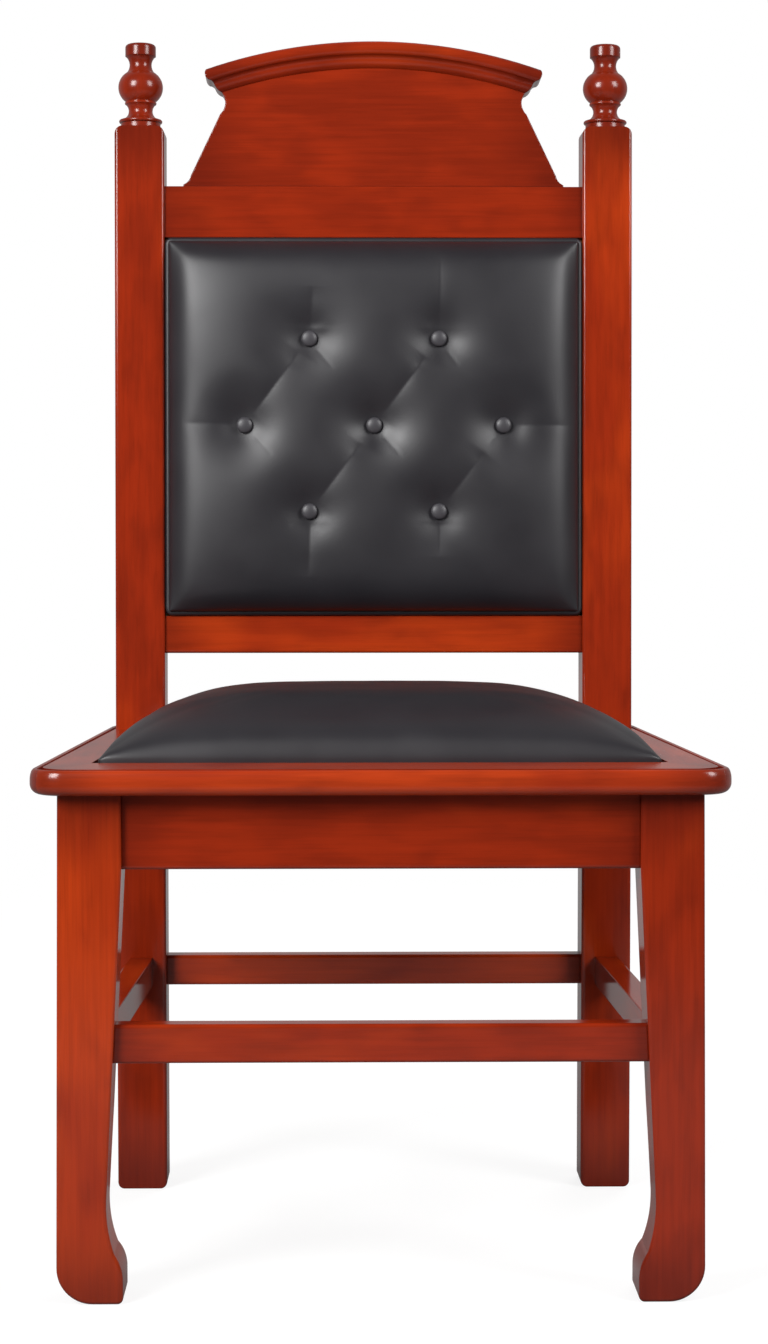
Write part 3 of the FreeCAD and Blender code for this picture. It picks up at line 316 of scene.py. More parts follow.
def flaxTwisted(name):
    # waxed tufting twine, with the twist of its plies
    material, tree, shader = newMaterial(name)
    spot = addNode(tree, "ShaderNodeTexCoord")
    twist = addNode(tree, "ShaderNodeTexWave", {"bands_direction": "DIAGONAL"}, {
        "Vector": spot.outputs["Object"],
        "Scale": math.tau / 10 / fittings["twist"],  # diagonal waves turn by 10 radians in a unit
        "Distortion": 0.5,
    }).outputs["Fac"]
    colour = addNode(tree, "ShaderNodeMix", {"data_type": "RGBA"}, {
        0: twist, 6: hexColour(fittings["flax"]), 7: hexColour(fittings["flaxShade"]),
    }).outputs[2]
    bump = addNode(tree, "ShaderNodeBump", inputs={
        "Height": twist, "Strength": 0.5, "Distance": 0.2 * mm,
    }).outputs["Normal"]
    tree.links.new(colour, shader.inputs["Base Color"])
    tree.links.new(bump, shader.inputs["Normal"])
    shader.inputs["Roughness"].default_value = fittings["flaxRoughness"]
    return material


# Frame of the chair: which way the grain runs in each lacquered piece

grainOf = {
    "z": [
        "right_front_leg", "left_front_leg", "right_rear_post", "left_rear_post",
        "right_finial", "left_finial",
    ],
    "x": [
        "front_apron", "rear_apron", "front_stretcher", "rear_stretcher",
        "back_bottom_rail", "back_top_rail", "crest_panel", "crest_moulding",
        "seat_front_rail", "seat_rear_rail",
    ],
    "y": [
        "right_side_apron", "left_side_apron", "right_side_stretcher", "left_side_stretcher",
        "seat_right_rail", "seat_left_rail",
    ],
}

toneAndPaintedShadeOf = {  # how deep the stain took, where it isn't as usual; on some pieces the tone is painted light or painted shade
    "usual": 0.05,
    # the rear posts are painted darker, partly as painted shade on their rear legs
    "left_front_leg": -0.12, "right_front_leg": 0.23, "left_rear_post": 0.24, "right_rear_post": 0.08,
    "crest_panel": 0.48, "crest_moulding": 0.22, "back_top_rail": 0.26, "back_bottom_rail": 0.04,
    # the rear stretcher is painted lighter, as painted light against the shade under the seat
    "seat_front_rail": -0.10, "front_apron": 0.22, "front_stretcher": 0.18, "rear_stretcher": -0.14,
    "left_finial": 0.3, "right_finial": 0.3,
}

seatRails = ["seat_front_rail", "seat_rear_rail", "seat_right_rail", "seat_left_rail"]


def dress(node, material):
    mesh = frame["nodes"][node].data
    mesh.materials.clear()
    mesh.materials.append(material)


def dressFrame():
    count = 0
    for grain, nodes in grainOf.items():
        for node in nodes:
            count += 1
            shift = (173.0 * count, 71.0 * count, 397.0 * count)  # each piece is cut from another board
            edge = wood["beadEdge" if node in seatRails else "edge"]
            tone = toneAndPaintedShadeOf.get(node, toneAndPaintedShadeOf["usual"])
            dress(node, mahoganyStainedLacquered(node, grain, shift, tone, edge))
    softwood = timberSawn("softwoodSawn", "softwood")
    for node in ("front_right_corner_block", "front_left_corner_block", "rear_right_corner_block",
                 "rear_left_corner_block", "right_back_cleat", "left_back_cleat", "crest_dowels"):
        dress(node, softwood)
    plywood = timberSawn("birchPlywoodSanded", "plywood")
    for node in ("seat_board", "back_board"):
        dress(node, plywood)
    steel = steelZincPlated("steelZincPlated")
    for node in ("seat_frame_screws", "seat_board_screws", "back_board_screws"):
        dress(node, steel)
    dress("tufting_twines", flaxTwisted("flaxTwisted"))
    print("frame dressed:", count, "lacquered pieces")


# Seat frame: the rounded edge of each rail becomes a bead, with a groove between it and the flat,
# and the recess for the cushion gets room beside the leather

# the groove's tone paints it deep: pooled stain, and painted shade
bead = {
    "start": 406.5 * mm, "round": 8 * mm, "foot": 414.5 * mm, "screwBottom": 408 * mm,
    "rise": 9.3 * mm, "turn": 1.5, "fall": 2.7 * mm, "groove": 412.8 * mm, "grooveStart": 414.1 * mm,
    "sharpest": math.radians(40), "grooveStainAndShade": 0.6, "grooveShine": 0.12,
}


def beadHeight(z):
    # the round of the edge is turned further over, so that it falls again towards the groove
    angle = math.asin(min((z - bead["start"]) / bead["round"], 1))
    crest = math.radians(90) / bead["turn"]
    over = max(angle - crest, 0) / (math.radians(90) - crest)
    rise = bead["rise"] * math.sin(min(angle, crest) * bead["turn"])
    return bead["start"] + rise - bead["fall"] * over ** 2


def beadedRails():
    # the groove is painted deep, partly for stain that pools there and partly as painted shade in the
    # groove; the lacquer sinks there, so it is dull
    tone, edge = bead["grooveStainAndShade"], wood["beadEdge"]
    pooledStainAndShade = mahoganyStainedLacquered("seat_front_rail", "x", (0, 0, 0), tone, edge)
    pooledStainAndShade.name = "mahoganyPooledStainAndShade"
    shader = pooledStainAndShade.node_tree.nodes["Principled BSDF"]
    shader.inputs["Coat Weight"].default_value = bead["grooveShine"]
    near = 0.01 * mm
    for node in seatRails:
        source = frame["nodes"][node].data
        mesh = bpy.data.meshes.new(node + "_beaded")
        triangles = [list(face.vertices) for face in source.polygons]
        mesh.from_pydata([v.co for v in source.vertices], [], triangles)
        shape = bmesh.new()
        shape.from_mesh(mesh)
        bmesh.ops.remove_doubles(shape, verts=shape.verts, dist=1e-3 * mm)
        shape.normal_update()
        foot = set()
        for face in shape.faces:
            lowest = min(v.co.z for v in face.verts)
            upright = abs(face.normal.z) < 0.1
            # the groove's faces take the material that is painted deep with pooled stain and painted shade
            face.material_index = int(bead["grooveStart"] < lowest < bead["foot"] + near)
            if upright and lowest > bead["foot"] - near:  # the small step of the frame, whose foot sinks
                foot.update(v for v in face.verts if v.co.z < bead["foot"] + near)
        for v in shape.verts:
            inside = seatHalf(v.co.y) - abs(v.co.x)
            along = seat["front"] - seat["wallGap"] < v.co.y < seat["rear"] + seat["wallGap"]
            if along and v.co.z > seat["board"] - near and -seat["wallGap"] < inside < seat["wallRound"]:
                v.co.x += math.copysign(seat["recess"], v.co.x)  # room beside the leather
            if v in foot:
                v.co.z = bead["groove"]
            elif bead["start"] < v.co.z < bead["foot"] + near and abs(v.co.z - bead["screwBottom"]) > near:
                v.co.z = beadHeight(v.co.z)
        shape.to_mesh(mesh)
        shape.free()
        mesh.polygons.foreach_set("use_smooth", [True] * len(mesh.polygons))
        mesh.set_sharp_from_angle(angle=bead["sharpest"])
        mesh.materials.append(source.materials[0])
        mesh.materials.append(pooledStainAndShade)
        rail = newPiece(node + "_beaded", mesh)
        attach(rail, "root")
        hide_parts(node)
    print("seat frame beaded")


# Upholstery

hide = cowhideFinishedBlack("cowhideFinishedBlack", "pads")
buttonHide = cowhideFinishedBlack("cowhidePaintedPalerBlack", "buttons")  # painted paler than the pads, as painted light for the light the buttons catch


def settle(piece):
    # the modifiers' result becomes the piece's own mesh
    graph = bpy.context.evaluated_depsgraph_get()
    mesh = bpy.data.meshes.new_from_object(piece.evaluated_get(graph))
    piece.modifiers.clear()
    before = piece.data
    piece.data = mesh
    bpy.data.meshes.remove(before)


def upholster(piece, *nodes):
    mesh = piece.data
    if not mesh.materials:
        mesh.materials.append(hide)
    mesh.polygons.foreach_set("use_smooth", [True] * len(mesh.polygons))
    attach(piece, "root")
    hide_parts(*nodes)
    return piece


def points(mesh):
    spots = np.empty(len(mesh.vertices) * 3)
    mesh.vertices.foreach_get("co", spots)
    return spots.reshape(-1, 3)


def setPoints(mesh, spots):
    mesh.vertices.foreach_set("co", spots.ravel())
    mesh.update()


def gridPad(name, columns, rows, face, skirts):
    # a closed pad: a grid for its face, rings that go down its sides, and the same grid for its base
    spots = [face(u, v) for v in np.linspace(-1, 1, rows + 1) for u in np.linspace(-1, 1, columns + 1)]
    wide = columns + 1
    faceQuads = [
        (r * wide + c, r * wide + c + 1, (r + 1) * wide + c + 1, (r + 1) * wide + c)
        for r in range(rows)
        for c in range(columns)
    ]
    border = list(range(wide))
    border += [r * wide + columns for r in range(1, rows + 1)]
    border += [rows * wide + c for c in range(columns - 1, -1, -1)]
    border += [r * wide for r in range(rows - 1, 0, -1)]
    inner = sorted(set(range(len(spots))) - set(border))
    quads = list(faceQuads)
    ring = border
    for skirt in skirts:
        lower = list(range(len(spots), len(spots) + len(border)))
        spots += [skirt(spots[i]) for i in border]
        for i, start in enumerate(ring):
            following = (i + 1) % len(ring)
            quads.append((ring[following], start, lower[i], lower[following]))
        ring = lower
    base = dict(zip(border, ring))
    for i in inner:
        base[i] = len(spots)
        spots.append(skirts[-1](spots[i]))
    quads += [tuple(base[i] for i in reversed(quad)) for quad in faceQuads]
    mesh = bpy.data.meshes.new(name)
    mesh.from_pydata(spots, [], quads)
    mesh.update()
    held = border + list(range(wide * (rows + 1), len(spots)))
    return newPiece(name, mesh), held


def inflate(pad, held, recipe):
    # the stuffing swells the leather, which is held at its edges and buttons
    start = points(pad.data)
    group = pad.vertex_groups.new(name="held")
    group.add(held, 1.0, "REPLACE")
    cloth = pad.modifiers.new("cloth", "CLOTH")
    settings = cloth.settings
    settings.quality = 6
    settings.mass = 0.4
    settings.tension_stiffness = recipe["stiffness"]
    settings.compression_stiffness = recipe["stiffness"]
    settings.shear_stiffness = recipe["stiffness"] / 2
    settings.bending_stiffness = recipe["bending"]
    settings.use_pressure = True
    settings.uniform_pressure_force = recipe["pressure"]
    settings.vertex_group_mass = group.name
    settings.effector_weights.gravity = 0
    cloth.collision_settings.use_collision = False
    cloth.point_cache.frame_start = 1
    cloth.point_cache.frame_end = recipe["frames"]
    for number in range(1, recipe["frames"] + 1):
        bpy.context.scene.frame_set(number)
    settle(pad)
    bpy.context.scene.frame_set(1)
    moved = points(pad.data) - start
    reach = np.linalg.norm(moved, axis=1, keepdims=True)
    capped = moved / np.sqrt(1 + (reach / recipe["cap"]) ** 2)  # no point moves further than the cap
    setPoints(pad.data, start + capped)
    print(pad.name, "swelled by up to", round(reach.max() / mm, 1), "mm")


def subdivide(pad, levels):
    smoother = pad.modifiers.new("smoother", "SUBSURF")
    smoother.levels = levels
    smoother.render_levels = levels
    settle(pad)


seat = {
    "front": -169 * mm, "rear": 162 * mm, "halfFront": 219 * mm, "halfRear": 195 * mm,
    "rim": 420 * mm, "frameTop": 416 * mm, "ledge": 404.6 * mm, "board": 404 * mm, "crown": 44 * mm,
    "lip": 4.2 * mm, "lipDrop": 2.2 * mm, "recess": 6 * mm, "wallGap": 2 * mm, "wallRound": 6 * mm,
    "square": 4, "fullness": 0.526, "columns": 60, "rows": 46,
    "unevenness": 0.7 * mm, "unevenSize": 45 * mm, "unevenOver": 12 * mm,
    "cornerPull": 2.6 * mm, "cornerPower": 24, "tuck": 1 * mm, "tuckRise": 0.5 * mm, "hem": 1 * mm,
    "cloth": {"pressure": 3.0, "stiffness": 20, "bending": 0.6, "frames": 20, "cap": 3 * mm},
}


def seatHalf(y):
    # half the width of the cushion's crown, which is wider at the front
    share = (y - seat["front"]) / (seat["rear"] - seat["front"])
    return seat["halfFront"] + share * (seat["halfRear"] - seat["halfFront"])


def crowded(t):
    # steps that come closer together towards the edges
    return t * (1.3 - 0.3 * t * t)


def seatCushion():
    middle, half = (seat["front"] + seat["rear"]) / 2, (seat["rear"] - seat["front"]) / 2

    def face(u, v):
        u, v = crowded(u), crowded(v)
        width = seatHalf(middle + v * half)
        reach = abs(u) * (width + seat["lip"])
        lip = max(reach - width, 0) / seat["lip"]  # beside the crown the leather lies flat
        flat = (1 - min(reach / width, 1) ** seat["square"]) * (1 - abs(v) ** seat["square"])
        rise = max(flat, 0) ** seat["fullness"]
        pull = seat["cornerPull"] * abs(u * v) ** seat["cornerPower"]  # pleated away at the corners
        x = math.copysign(reach - pull, u)
        y = middle + v * half - math.copysign(pull, v)
        return Vector((x, y, seat["rim"] + seat["crown"] * rise - seat["lipDrop"] * lip))

    def downTo(level):
        keptX, keptY = 1 - seat["tuck"] / seat["halfFront"], 1 - seat["tuck"] / half
        return lambda spot: Vector((spot.x * keptX, middle + (spot.y - middle) * keptY, level))

    def straightTo(level):
        return lambda spot: Vector((spot.x, spot.y, level))

    skirts = [
        downTo(seat["frameTop"] + seat["tuckRise"]),
        straightTo(seat["ledge"] + seat["hem"]),
        straightTo(seat["ledge"]),
    ]
    cushion, held = gridPad("seat_cushion", seat["columns"], seat["rows"], face, skirts)
    inflate(cushion, held, seat["cloth"])
    subdivide(cushion, 1)
    spots = points(cushion.data)
    lift = np.clip((spots[:, 2] - seat["rim"]) / seat["unevenOver"], 0, 1)
    uneven = np.array([noise.noise(Vector(spot) / seat["unevenSize"]) for spot in spots])
    spots[:, 2] += seat["unevenness"] * uneven * lift
    setPoints(cushion.data, spots)
    subdivide(cushion, 1)
    upholster(cushion, "seat_cover", "seat_foam")
    print("seat cushion:", len(cushion.data.polygons), "faces")


tufts = {
    "middle": 266.75 * mm, "halfWide": 183.2 * mm, "halfHigh": 165.4 * mm, "flange": 6 * mm,
    "crown": 34 * mm, "edge": 3 * mm, "shoulder": 5.5 * mm, "shoulderWide": 11 * mm,
    "columns": 80, "rows": 72,
    "squareSides": 3.2, "squareTop": 4.4, "squareBottom": 2.8,  # the higher, the fuller towards that edge
    "pitchX": 57.5 * mm, "pitchZ": 76.6 * mm, "weltDepth": 3 * mm,
    "buttonRoom": 7.5 * mm, "buttonHeight": 5 * mm, "buttonStand": 2.1 * mm,
    "funnel": 21 * mm, "ease": 1.6, "merge": 3,  # how wide each button draws the leather in, and how gently
    "cloth": {"pressure": 2.0, "stiffness": 15, "bending": 1.0, "frames": 20, "cap": 4.5 * mm},
}

# the seven buttons, in half diamonds from the middle of the pad
buttonCells = {
    "topLeft": (-1, 1), "topRight": (1, 1), "left": (-2, 0), "centre": (0, 0), "right": (2, 0),
    "bottomLeft": (-1, -1), "bottomRight": (1, -1),
}

# folds of the leather: from a button, in mm across and up, with depth and width in mm
folds = [
    ("topLeft", (-9, -12), (-50, -67), 1.8, 9),
    ("topRight", (-12, -16), (-50, -67), 2.0, 8),
    ("centre", (-12, -16), (-50, -67), 2.0, 8),
    ("right", (-18, -24), (-50, -67), 1.4, 8),
    ("left", (-8, 1), (-56, 2), 0.8, 7),
    ("right", (8, 0), (64, 0), 0.7, 7),
    ("topRight", (0, 9), (1, 78), 1.3, 9),
    ("topLeft", (1, 9), (3, 46), 1.0, 9),
    ("bottomLeft", (0, -9), (-1, -58), 1.1, 8),
    ("bottomRight", (0, -9), (0, -40), 1.0, 8),
    ("topLeft", (5, -8), (22, -28), 0.32, 1.4),
    ("topRight", (6, -9), (18, -26), 0.25, 1.4),
    ("centre", (7, -8), (25, -29), 0.32, 1.4),
    ("left", (9, -9), (25, -28), 0.32, 1.4),
    ("right", (-5, -8), (-14, -17), 0.25, 1.4),
    ("bottomLeft", (-6, -5), (-18, -13), 0.25, 1.4),
    ("bottomRight", (-5, -7), (-12, -13), 0.25, 1.4),
]


def buttonSpot(name):
    column, row = buttonCells[name]
    return np.array([column * tufts["pitchX"], row * tufts["pitchZ"]])


def crownAt(x, z):
    across = max(1 - (abs(x) / tufts["halfWide"]) ** tufts["squareSides"], 0) ** 0.5
    square = tufts["squareTop"] if z > 0 else tufts["squareBottom"]
    up = max(1 - (abs(z) / tufts["halfHigh"]) ** square, 0) ** 0.5
    sides = (tufts["halfWide"] - abs(x), tufts["halfHigh"] - abs(z))
    insets = [max(inset, 0.1 * mm) for inset in sides]
    inset = sum(inset ** -4 for inset in insets) ** -0.25  # the smaller one, run together at the corners
    shoulder = tufts["shoulder"] * (1 - math.exp(-(inset / tufts["shoulderWide"]) ** 2))  # the foam's edge
    return tufts["edge"] + shoulder + (tufts["crown"] - tufts["edge"] - tufts["shoulder"]) * across * up


def buttonSeats():
    # how far the leather under each button stands in front of the posts, read from the CAD buttons
    ends = points(frame["nodes"]["back_buttons"].data)
    spots = np.array([leanMatrix.inverted() @ Vector(end) for end in ends])
    seats = {}
    for name in buttonCells:
        away = np.hypot(*(spots[:, (0, 2)] - buttonSpot(name) - (0, tufts["middle"])).T)
        seats[name] = -spots[away < 2 * tufts["buttonRoom"], 1].min() - tufts["buttonHeight"]
    return seats


seatOf = buttonSeats()
pulls = [(buttonSpot(name), crownAt(*buttonSpot(name)) - seatOf[name]) for name in buttonCells]
print("button seats:", {name: round(proud / mm, 1) for name, proud in seatOf.items()})


def proudAt(x, z):
    # how far the leather stands in front of the posts before it swells: the funnels run into each other
    sunk = 0
    for spot, depth in pulls:
        distance = max(math.hypot(spot[0] - x, spot[1] - z) - tufts["buttonRoom"], 0)
        sunk += (depth / (1 + (distance / tufts["funnel"]) ** tufts["ease"])) ** tufts["merge"]
    return crownAt(x, z) - sunk ** (1 / tufts["merge"])


def foldAlong(spots, start, end, width):
    # 1 along the line of a fold, fading to its sides; it sets in over a sixth of its length
    # and fades out over the last third
    way = end - start
    length = np.hypot(*way)
    share = np.clip(((spots - start) @ way) / length ** 2, 0, 1)
    nearest = start + share[:, None] * way
    distance = np.hypot(*(spots - nearest).T)
    ends = np.sin(np.pi * np.clip(np.minimum(share * 3, (1 - share) * 1.5), 0, 0.5))
    return np.exp(-distance / width) * ends


def backCushion():
    def face(u, v):
        x, z = crowded(u) * tufts["halfWide"], crowded(v) * tufts["halfHigh"]
        return Vector((x, -proudAt(x, z), z))

    def backTo(depth):
        return lambda spot: Vector((spot.x, depth, spot.z))

    skirts = [backTo(tufts["flange"] / 2), backTo(tufts["flange"])]
    cushion, held = gridPad("back_cushion", tufts["columns"], tufts["rows"], face, skirts)
    spots = points(cushion.data)
    for name in buttonCells:
        distance = np.hypot(*(spots[:, (0, 2)] - buttonSpot(name)).T)
        front = spots[:, 1] < 0
        held += [int(i) for i in np.flatnonzero((distance < tufts["buttonRoom"]) & front)]
    inflate(cushion, held, tufts["cloth"])
    subdivide(cushion, 2)
    spots = points(cushion.data)
    plan = spots[:, (0, 2)]
    sink = np.zeros(len(spots))
    for name, start, end, depth, width in folds:
        origin = buttonSpot(name)
        begin, finish = origin + np.array(start) * mm, origin + np.array(end) * mm
        sink += depth * mm * foldAlong(plan, begin, finish, width * mm)
    front = spots[:, 1] < tufts["flange"] / 2
    spots[:, 1] += np.where(front, sink, 0)
    spots[:, 2] += tufts["middle"]
    setPoints(cushion.data, spots)
    cushion.data.transform(leanMatrix)
    upholster(cushion, "back_cover", "back_foam")
    print("back cushion:", len(cushion.data.polygons), "faces")


def newTree(name, sizes):
    # a geometry tree with one group input for each named size
    tree = bpy.data.node_groups.new(name, "GeometryNodeTree")
    tree.interface.new_socket("Geometry", in_out="INPUT", socket_type="NodeSocketGeometry")
    tree.interface.new_socket("Geometry", in_out="OUTPUT", socket_type="NodeSocketGeometry")
    for label, value in sizes.items():
        kind = "NodeSocketMaterial" if isinstance(value, bpy.types.Material) else "NodeSocketFloat"
        tree.interface.new_socket(label, in_out="INPUT", socket_type=kind)
    return tree, addNode(tree, "NodeGroupInput").outputs


def grow(name, tree, sizes, mesh):
    # runs a geometry tree on a mesh and keeps the result as a plain mesh
    piece = newPiece(name, mesh)
    maker = piece.modifiers.new("maker", "NODES")
    maker.node_group = tree
    for item in tree.interface.items_tree:
        if item.in_out == "INPUT" and item.name in sizes:
            maker[item.identifier] = sizes[item.name]
    settle(piece)
    return piece


button = {"Radius": 7.1 * mm, "Height": 2.9 * mm, "Leather": buttonHide}


def coveredButtons():
    tree, sizes = newTree("coveredButtons", button)
    ball = addNode(tree, "GeometryNodeMeshUVSphere", inputs={"Segments": 40, "Rings": 20, "Radius": 1.0})
    stretch = addNode(tree, "ShaderNodeCombineXYZ", inputs={
        "X": sizes["Radius"], "Y": sizes["Height"], "Z": sizes["Radius"],
    })
    turned = addNode(tree, "GeometryNodeTransform", inputs={
        "Geometry": ball.outputs["Mesh"], "Rotation": (math.radians(90), 0, 0),
    })
    dome = addNode(tree, "GeometryNodeTransform", inputs={
        "Geometry": turned.outputs["Geometry"], "Scale": stretch.outputs["Vector"],
    })
    smooth = addNode(tree, "GeometryNodeSetShadeSmooth", inputs={"Geometry": dome.outputs["Geometry"]})
    placed = addNode(tree, "GeometryNodeInstanceOnPoints", inputs={
        "Points": sizes["Geometry"],
        "Instance": smooth.outputs["Geometry"],
        "Rotation": (-lean["rake"], 0, 0),
    })
    real = addNode(tree, "GeometryNodeRealizeInstances", inputs={"Geometry": placed.outputs["Instances"]})
    covered = addNode(tree, "GeometryNodeSetMaterial", inputs={
        "Geometry": real.outputs["Geometry"], "Material": sizes["Leather"],
    })
    addNode(tree, "NodeGroupOutput", inputs={"Geometry": covered.outputs["Geometry"]})
    spots = []
    for name in buttonCells:
        x, z = buttonSpot(name)
        spots.append(leanMatrix @ Vector((x, -seatOf[name] - tufts["buttonStand"], z + tufts["middle"])))
    mesh = bpy.data.meshes.new("buttonSpots")
    mesh.from_pydata(spots, [], [])
    buttons = grow("leather_buttons", tree, button, mesh)
    upholster(buttons, "back_buttons")
    print("buttons:", len(spots))


welt = {
    "Width": 367.2 * mm, "Height": 331.7 * mm, "Corner": 3.3 * mm, "Radius": 3 * mm,
    "Ripple": 0.12 * mm, "Leather": hide,
}


def pipedWelt():
    tree, sizes = newTree("pipedWelt", welt)
    box = addNode(tree, "GeometryNodeCurvePrimitiveQuadrilateral", {"mode": "RECTANGLE"}, {
        "Width": sizes["Width"], "Height": sizes["Height"],
    })
    rounded = addNode(tree, "GeometryNodeFilletCurve", {"mode": "POLY"}, {
        "Curve": box.outputs["Curve"], "Count": 8, "Radius": sizes["Corner"],
    })
    even = addNode(tree, "GeometryNodeResampleCurve", {"mode": "LENGTH"}, {
        "Curve": rounded.outputs["Curve"], "Length": 1.5 * mm,  # between rings of the cord
    })
    place = addNode(tree, "GeometryNodeInputPosition")
    ripple = addNode(tree, "ShaderNodeTexNoise", inputs={
        "Vector": place.outputs["Position"], "Scale": 1 / (14 * mm), "Detail": 1.0,  # ripples 14 mm long
    })
    swell = addNode(tree, "ShaderNodeMath", {"operation": "MULTIPLY_ADD"}, {
        0: ripple.outputs["Fac"], 1: sizes["Ripple"], 2: sizes["Radius"],
    })
    cord = addNode(tree, "GeometryNodeCurvePrimitiveCircle", inputs={"Resolution": 14, "Radius": 1.0})
    tube = addNode(tree, "GeometryNodeCurveToMesh", inputs={
        "Curve": even.outputs["Curve"],
        "Profile Curve": cord.outputs["Curve"],
        "Scale": swell.outputs["Value"],
    })
    smooth = addNode(tree, "GeometryNodeSetShadeSmooth", inputs={"Geometry": tube.outputs["Mesh"]})
    real = addNode(tree, "GeometryNodeRealizeInstances", inputs={"Geometry": smooth.outputs["Geometry"]})
    covered = addNode(tree, "GeometryNodeSetMaterial", inputs={
        "Geometry": real.outputs["Geometry"], "Material": sizes["Leather"],
    })
    addNode(tree, "NodeGroupOutput", inputs={"Geometry": covered.outputs["Geometry"]})
    piping = grow("back_piping", tree, welt, bpy.data.meshes.new("pipingPath"))
    upright = Matrix.Rotation(math.radians(90), 4, "X")
    stand = Matrix.Translation((0, tufts["weltDepth"], tufts["middle"])) @ upright
    piping.data.transform(leanMatrix @ stand)
    upholster(piping, "back_welt")
    print("piping:", len(piping.data.polygons), "faces")


rearPanel = {
    "halfWide": 186.6 * mm, "halfHigh": 178 * mm, "near": 28.3 * mm, "far": 40.2 * mm,
    "crown": 0.8 * mm, "crownPower": 8, "edgeDrop": 1.2 * mm, "edgePower": 24, "hem": 1 * mm,
    "columns": 48, "rows": 44,
}


def rearLeatherPanel():
    # leather wrapped over a board, which laps over the rails and closes the back
    def face(u, v):
        u, v = crowded(u), crowded(v)
        flat, sharp = rearPanel["crownPower"], rearPanel["edgePower"]
        swell = rearPanel["crown"] * (1 - u ** flat) * (1 - v ** flat)
        drop = rearPanel["edgeDrop"] * (abs(u) ** sharp + abs(v) ** sharp) / 2
        depth = rearPanel["far"] + swell - drop
        return Vector((-u * rearPanel["halfWide"], depth, v * rearPanel["halfHigh"]))

    def forwardTo(depth):
        return lambda spot: Vector((spot.x, depth, spot.z))

    skirts = [forwardTo(rearPanel["near"] + rearPanel["hem"]), forwardTo(rearPanel["near"])]
    panel, _ = gridPad("back_rear_cover", rearPanel["columns"], rearPanel["rows"], face, skirts)
    panel.data.transform(leanMatrix @ Matrix.Translation((0, 0, tufts["middle"])))
    upholster(panel, "back_rear_panel")
    print("rear panel:", len(panel.data.polygons), "faces")


# Studio

camera = {  # fitted to the photograph, whose frame is 768 x 1344
    "place": (-38.6 * mm, -2472.9 * mm, 621.4 * mm),
    "turn": math.radians(1.03), "tilt": math.radians(-3.34),
    "focalPixels": 2955.6, "longSidePixels": 1344, "sensor": 36,
}

lamps = {  # metres and watts; the lacquer doesn't mirror the rear one
    "left_softbox": {
        "place": (-1.8, -2.1, 1.9), "aim": (0, 0, 0.6), "size": (1.1, 1.5), "watts": 94, "mirrored": True,
    },
    "right_softbox": {
        "place": (2.1, -1.5, 1.9), "aim": (0, 0, 0.6), "size": (1.0, 1.4), "watts": 48, "mirrored": True,
    },
    "rear_softbox": {
        "place": (1.0, 2.8, 2.1), "aim": (0, 0.1, 0.6), "size": (1.6, 1.6), "watts": 52, "mirrored": False,
    },
}

studio = {
    "ambient": 0.28, "backdropGloss": 0.36, "roomGloss": 0.04,  # brightness of the room, lit and mirrored
    "backdropStart": -0.3, "backdropFull": 0.6,  # where it begins and is full, from -1 (front) to 1 (rear)
    "floor": "#7C7C7C", "floorGlow": 0.84, "floorGloss": 0.05,
    "floorReach": 0.9, "floorEdge": 2.4, "floorDrop": 0.3 * mm,
}


def aimCamera():
    view = bpy.data.cameras.new("view")
    view.sensor_width = camera["sensor"]
    view.lens = camera["focalPixels"] / camera["longSidePixels"] * camera["sensor"]
    eye = newPiece("view", view)
    turn, tilt = camera["turn"], camera["tilt"]
    flat = math.cos(tilt)
    ahead = Vector((math.sin(turn) * flat, math.cos(turn) * flat, math.sin(tilt)))
    eye.location = camera["place"]
    eye.rotation_euler = ahead.to_track_quat("-Z", "Y").to_euler()
    bpy.context.scene.camera = eye


def lightStudio():
    for name, values in lamps.items():
        light = bpy.data.lights.new(name, "AREA")
        light.shape = "RECTANGLE"
        light.size, light.size_y = values["size"]
        light.energy = values["watts"]
        lamp = newPiece(name, light)
        lamp.location = values["place"]
        ahead = Vector(values["aim"]) - Vector(values["place"])
        lamp.rotation_euler = ahead.to_track_quat("-Z", "Y").to_euler()
        lamp.visible_glossy = values["mirrored"]
    print("lamps:", len(lamps))


def whiteWorld():
    # the camera sees plain white; the lacquer sees a pale backdrop behind the chair
    # and a dim room in front of it
    world = bpy.data.worlds.new("studio")
    bpy.context.scene.world = world
    world.use_nodes = True
    tree = world.node_tree
    tree.nodes.clear()
    path = addNode(tree, "ShaderNodeLightPath")
    way = addNode(tree, "ShaderNodeTexCoord").outputs["Generated"]
    behind = addNode(tree, "ShaderNodeSeparateXYZ", inputs={"Vector": way}).outputs["Y"]
    gloss = addNode(tree, "ShaderNodeMapRange", {"interpolation_type": "SMOOTHSTEP"}, {
        "Value": behind, "From Min": studio["backdropStart"], "From Max": studio["backdropFull"],
        "To Min": studio["roomGloss"], "To Max": studio["backdropGloss"],
    }).outputs["Result"]
    strength = studio["ambient"]
    for ray, level in (("Is Glossy Ray", gloss), ("Is Transmission Ray", 1.0), ("Is Camera Ray", 1.0)):
        strength = addNode(tree, "ShaderNodeMix", {"data_type": "FLOAT"}, {
            0: path.outputs[ray], 2: strength, 3: level,
        }).outputs[0]
    plain = addNode(tree, "ShaderNodeBackground", inputs={
        "Color": hexColour("#FFFFFF"), "Strength": strength,
    })
    addNode(tree, "ShaderNodeOutputWorld", inputs={"Surface": plain.outputs["Background"]})


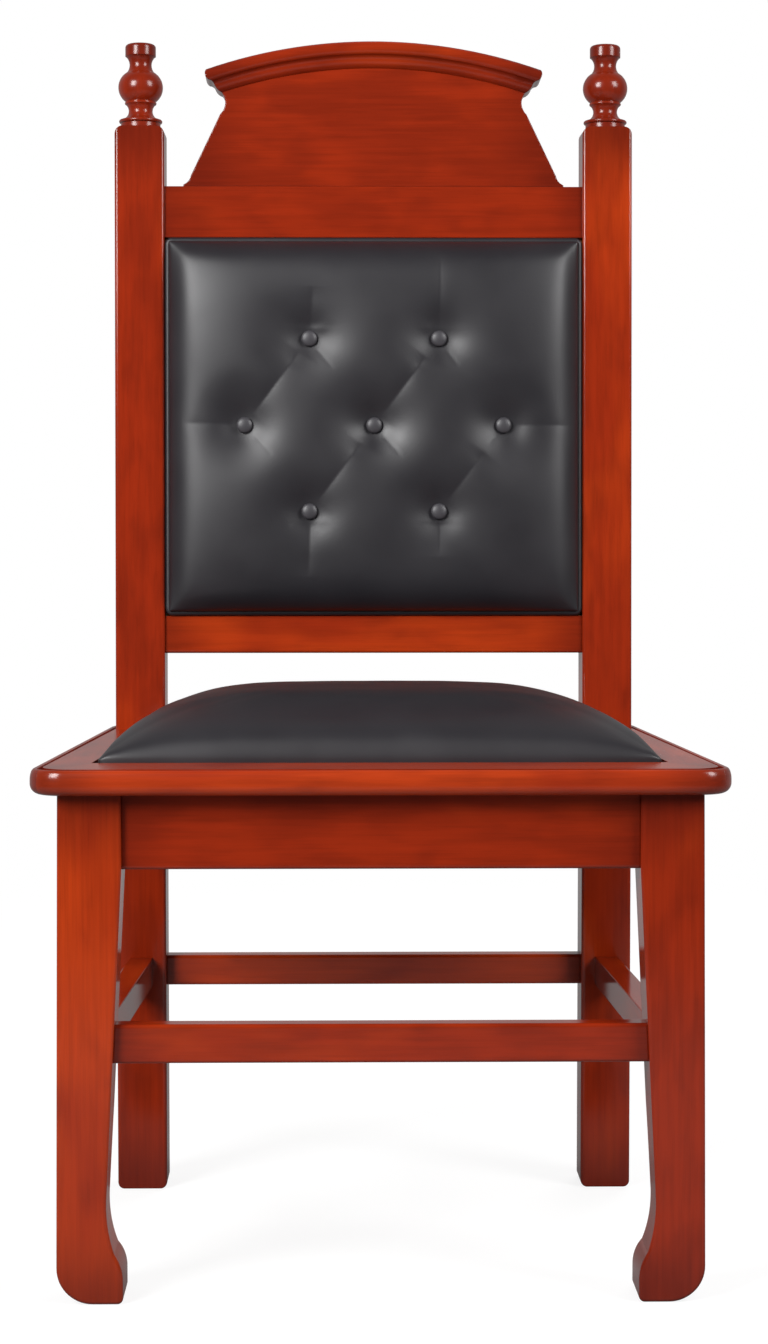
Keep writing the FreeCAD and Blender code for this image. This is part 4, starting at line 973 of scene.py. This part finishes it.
def paleFloor():
    # a pale paper floor that keeps the chair's shadow and fades into the white room
    half, level = studio["floorEdge"], -studio["floorDrop"]
    corners = [(-half, -half, level), (half, -half, level), (half, half, level), (-half, half, level)]
    mesh = bpy.data.meshes.new("studio_floor")
    mesh.from_pydata(corners, [], [(0, 1, 2, 3)])
    floor = newPiece("studio_floor", mesh)
    material = bpy.data.materials.new("paperPaleMatt")
    material.use_nodes = True
    tree = material.node_tree
    tree.nodes.clear()
    path = addNode(tree, "ShaderNodeLightPath")
    spot = addNode(tree, "ShaderNodeTexCoord").outputs["Object"]
    away = addNode(tree, "ShaderNodeVectorMath", {"operation": "LENGTH"}, {0: spot}).outputs["Value"]
    fade = addNode(tree, "ShaderNodeMapRange", {"interpolation_type": "SMOOTHSTEP"}, {
        "Value": away, "From Min": studio["floorReach"], "From Max": studio["floorEdge"],
    }).outputs["Result"]
    under = addNode(tree, "ShaderNodeNewGeometry").outputs["Backfacing"]  # clear from below
    fade = addNode(tree, "ShaderNodeMath", {"operation": "MAXIMUM"}, {0: fade, 1: under}).outputs[0]
    matt = addNode(tree, "ShaderNodeBsdfDiffuse", inputs={"Color": hexColour(studio["floor"])})
    seen = addNode(tree, "ShaderNodeMath", {"operation": "MULTIPLY"}, {
        0: path.outputs["Is Camera Ray"], 1: studio["floorGlow"],
    })
    mirrored = addNode(tree, "ShaderNodeMath", {"operation": "MULTIPLY_ADD"}, {
        0: path.outputs["Is Glossy Ray"], 1: studio["floorGloss"], 2: seen.outputs[0],
    })
    glow = addNode(tree, "ShaderNodeEmission", inputs={
        "Color": hexColour("#FFFFFF"), "Strength": mirrored.outputs[0],
    })
    paper = addNode(tree, "ShaderNodeAddShader", inputs={
        0: matt.outputs["BSDF"], 1: glow.outputs["Emission"],
    })
    clear = addNode(tree, "ShaderNodeBsdfTransparent")
    both = addNode(tree, "ShaderNodeMixShader", inputs={
        0: fade, 1: paper.outputs["Shader"], 2: clear.outputs["BSDF"],
    })
    addNode(tree, "ShaderNodeOutputMaterial", inputs={"Surface": both.outputs["Shader"]})
    mesh.materials.append(material)


dressFrame()
beadedRails()
seatCushion()
backCushion()
coveredButtons()
pipedWelt()
rearLeatherPanel()
aimCamera()
lightStudio()
whiteWorld()
paleFloor()
bpy.context.scene.view_settings.view_transform = "Standard"
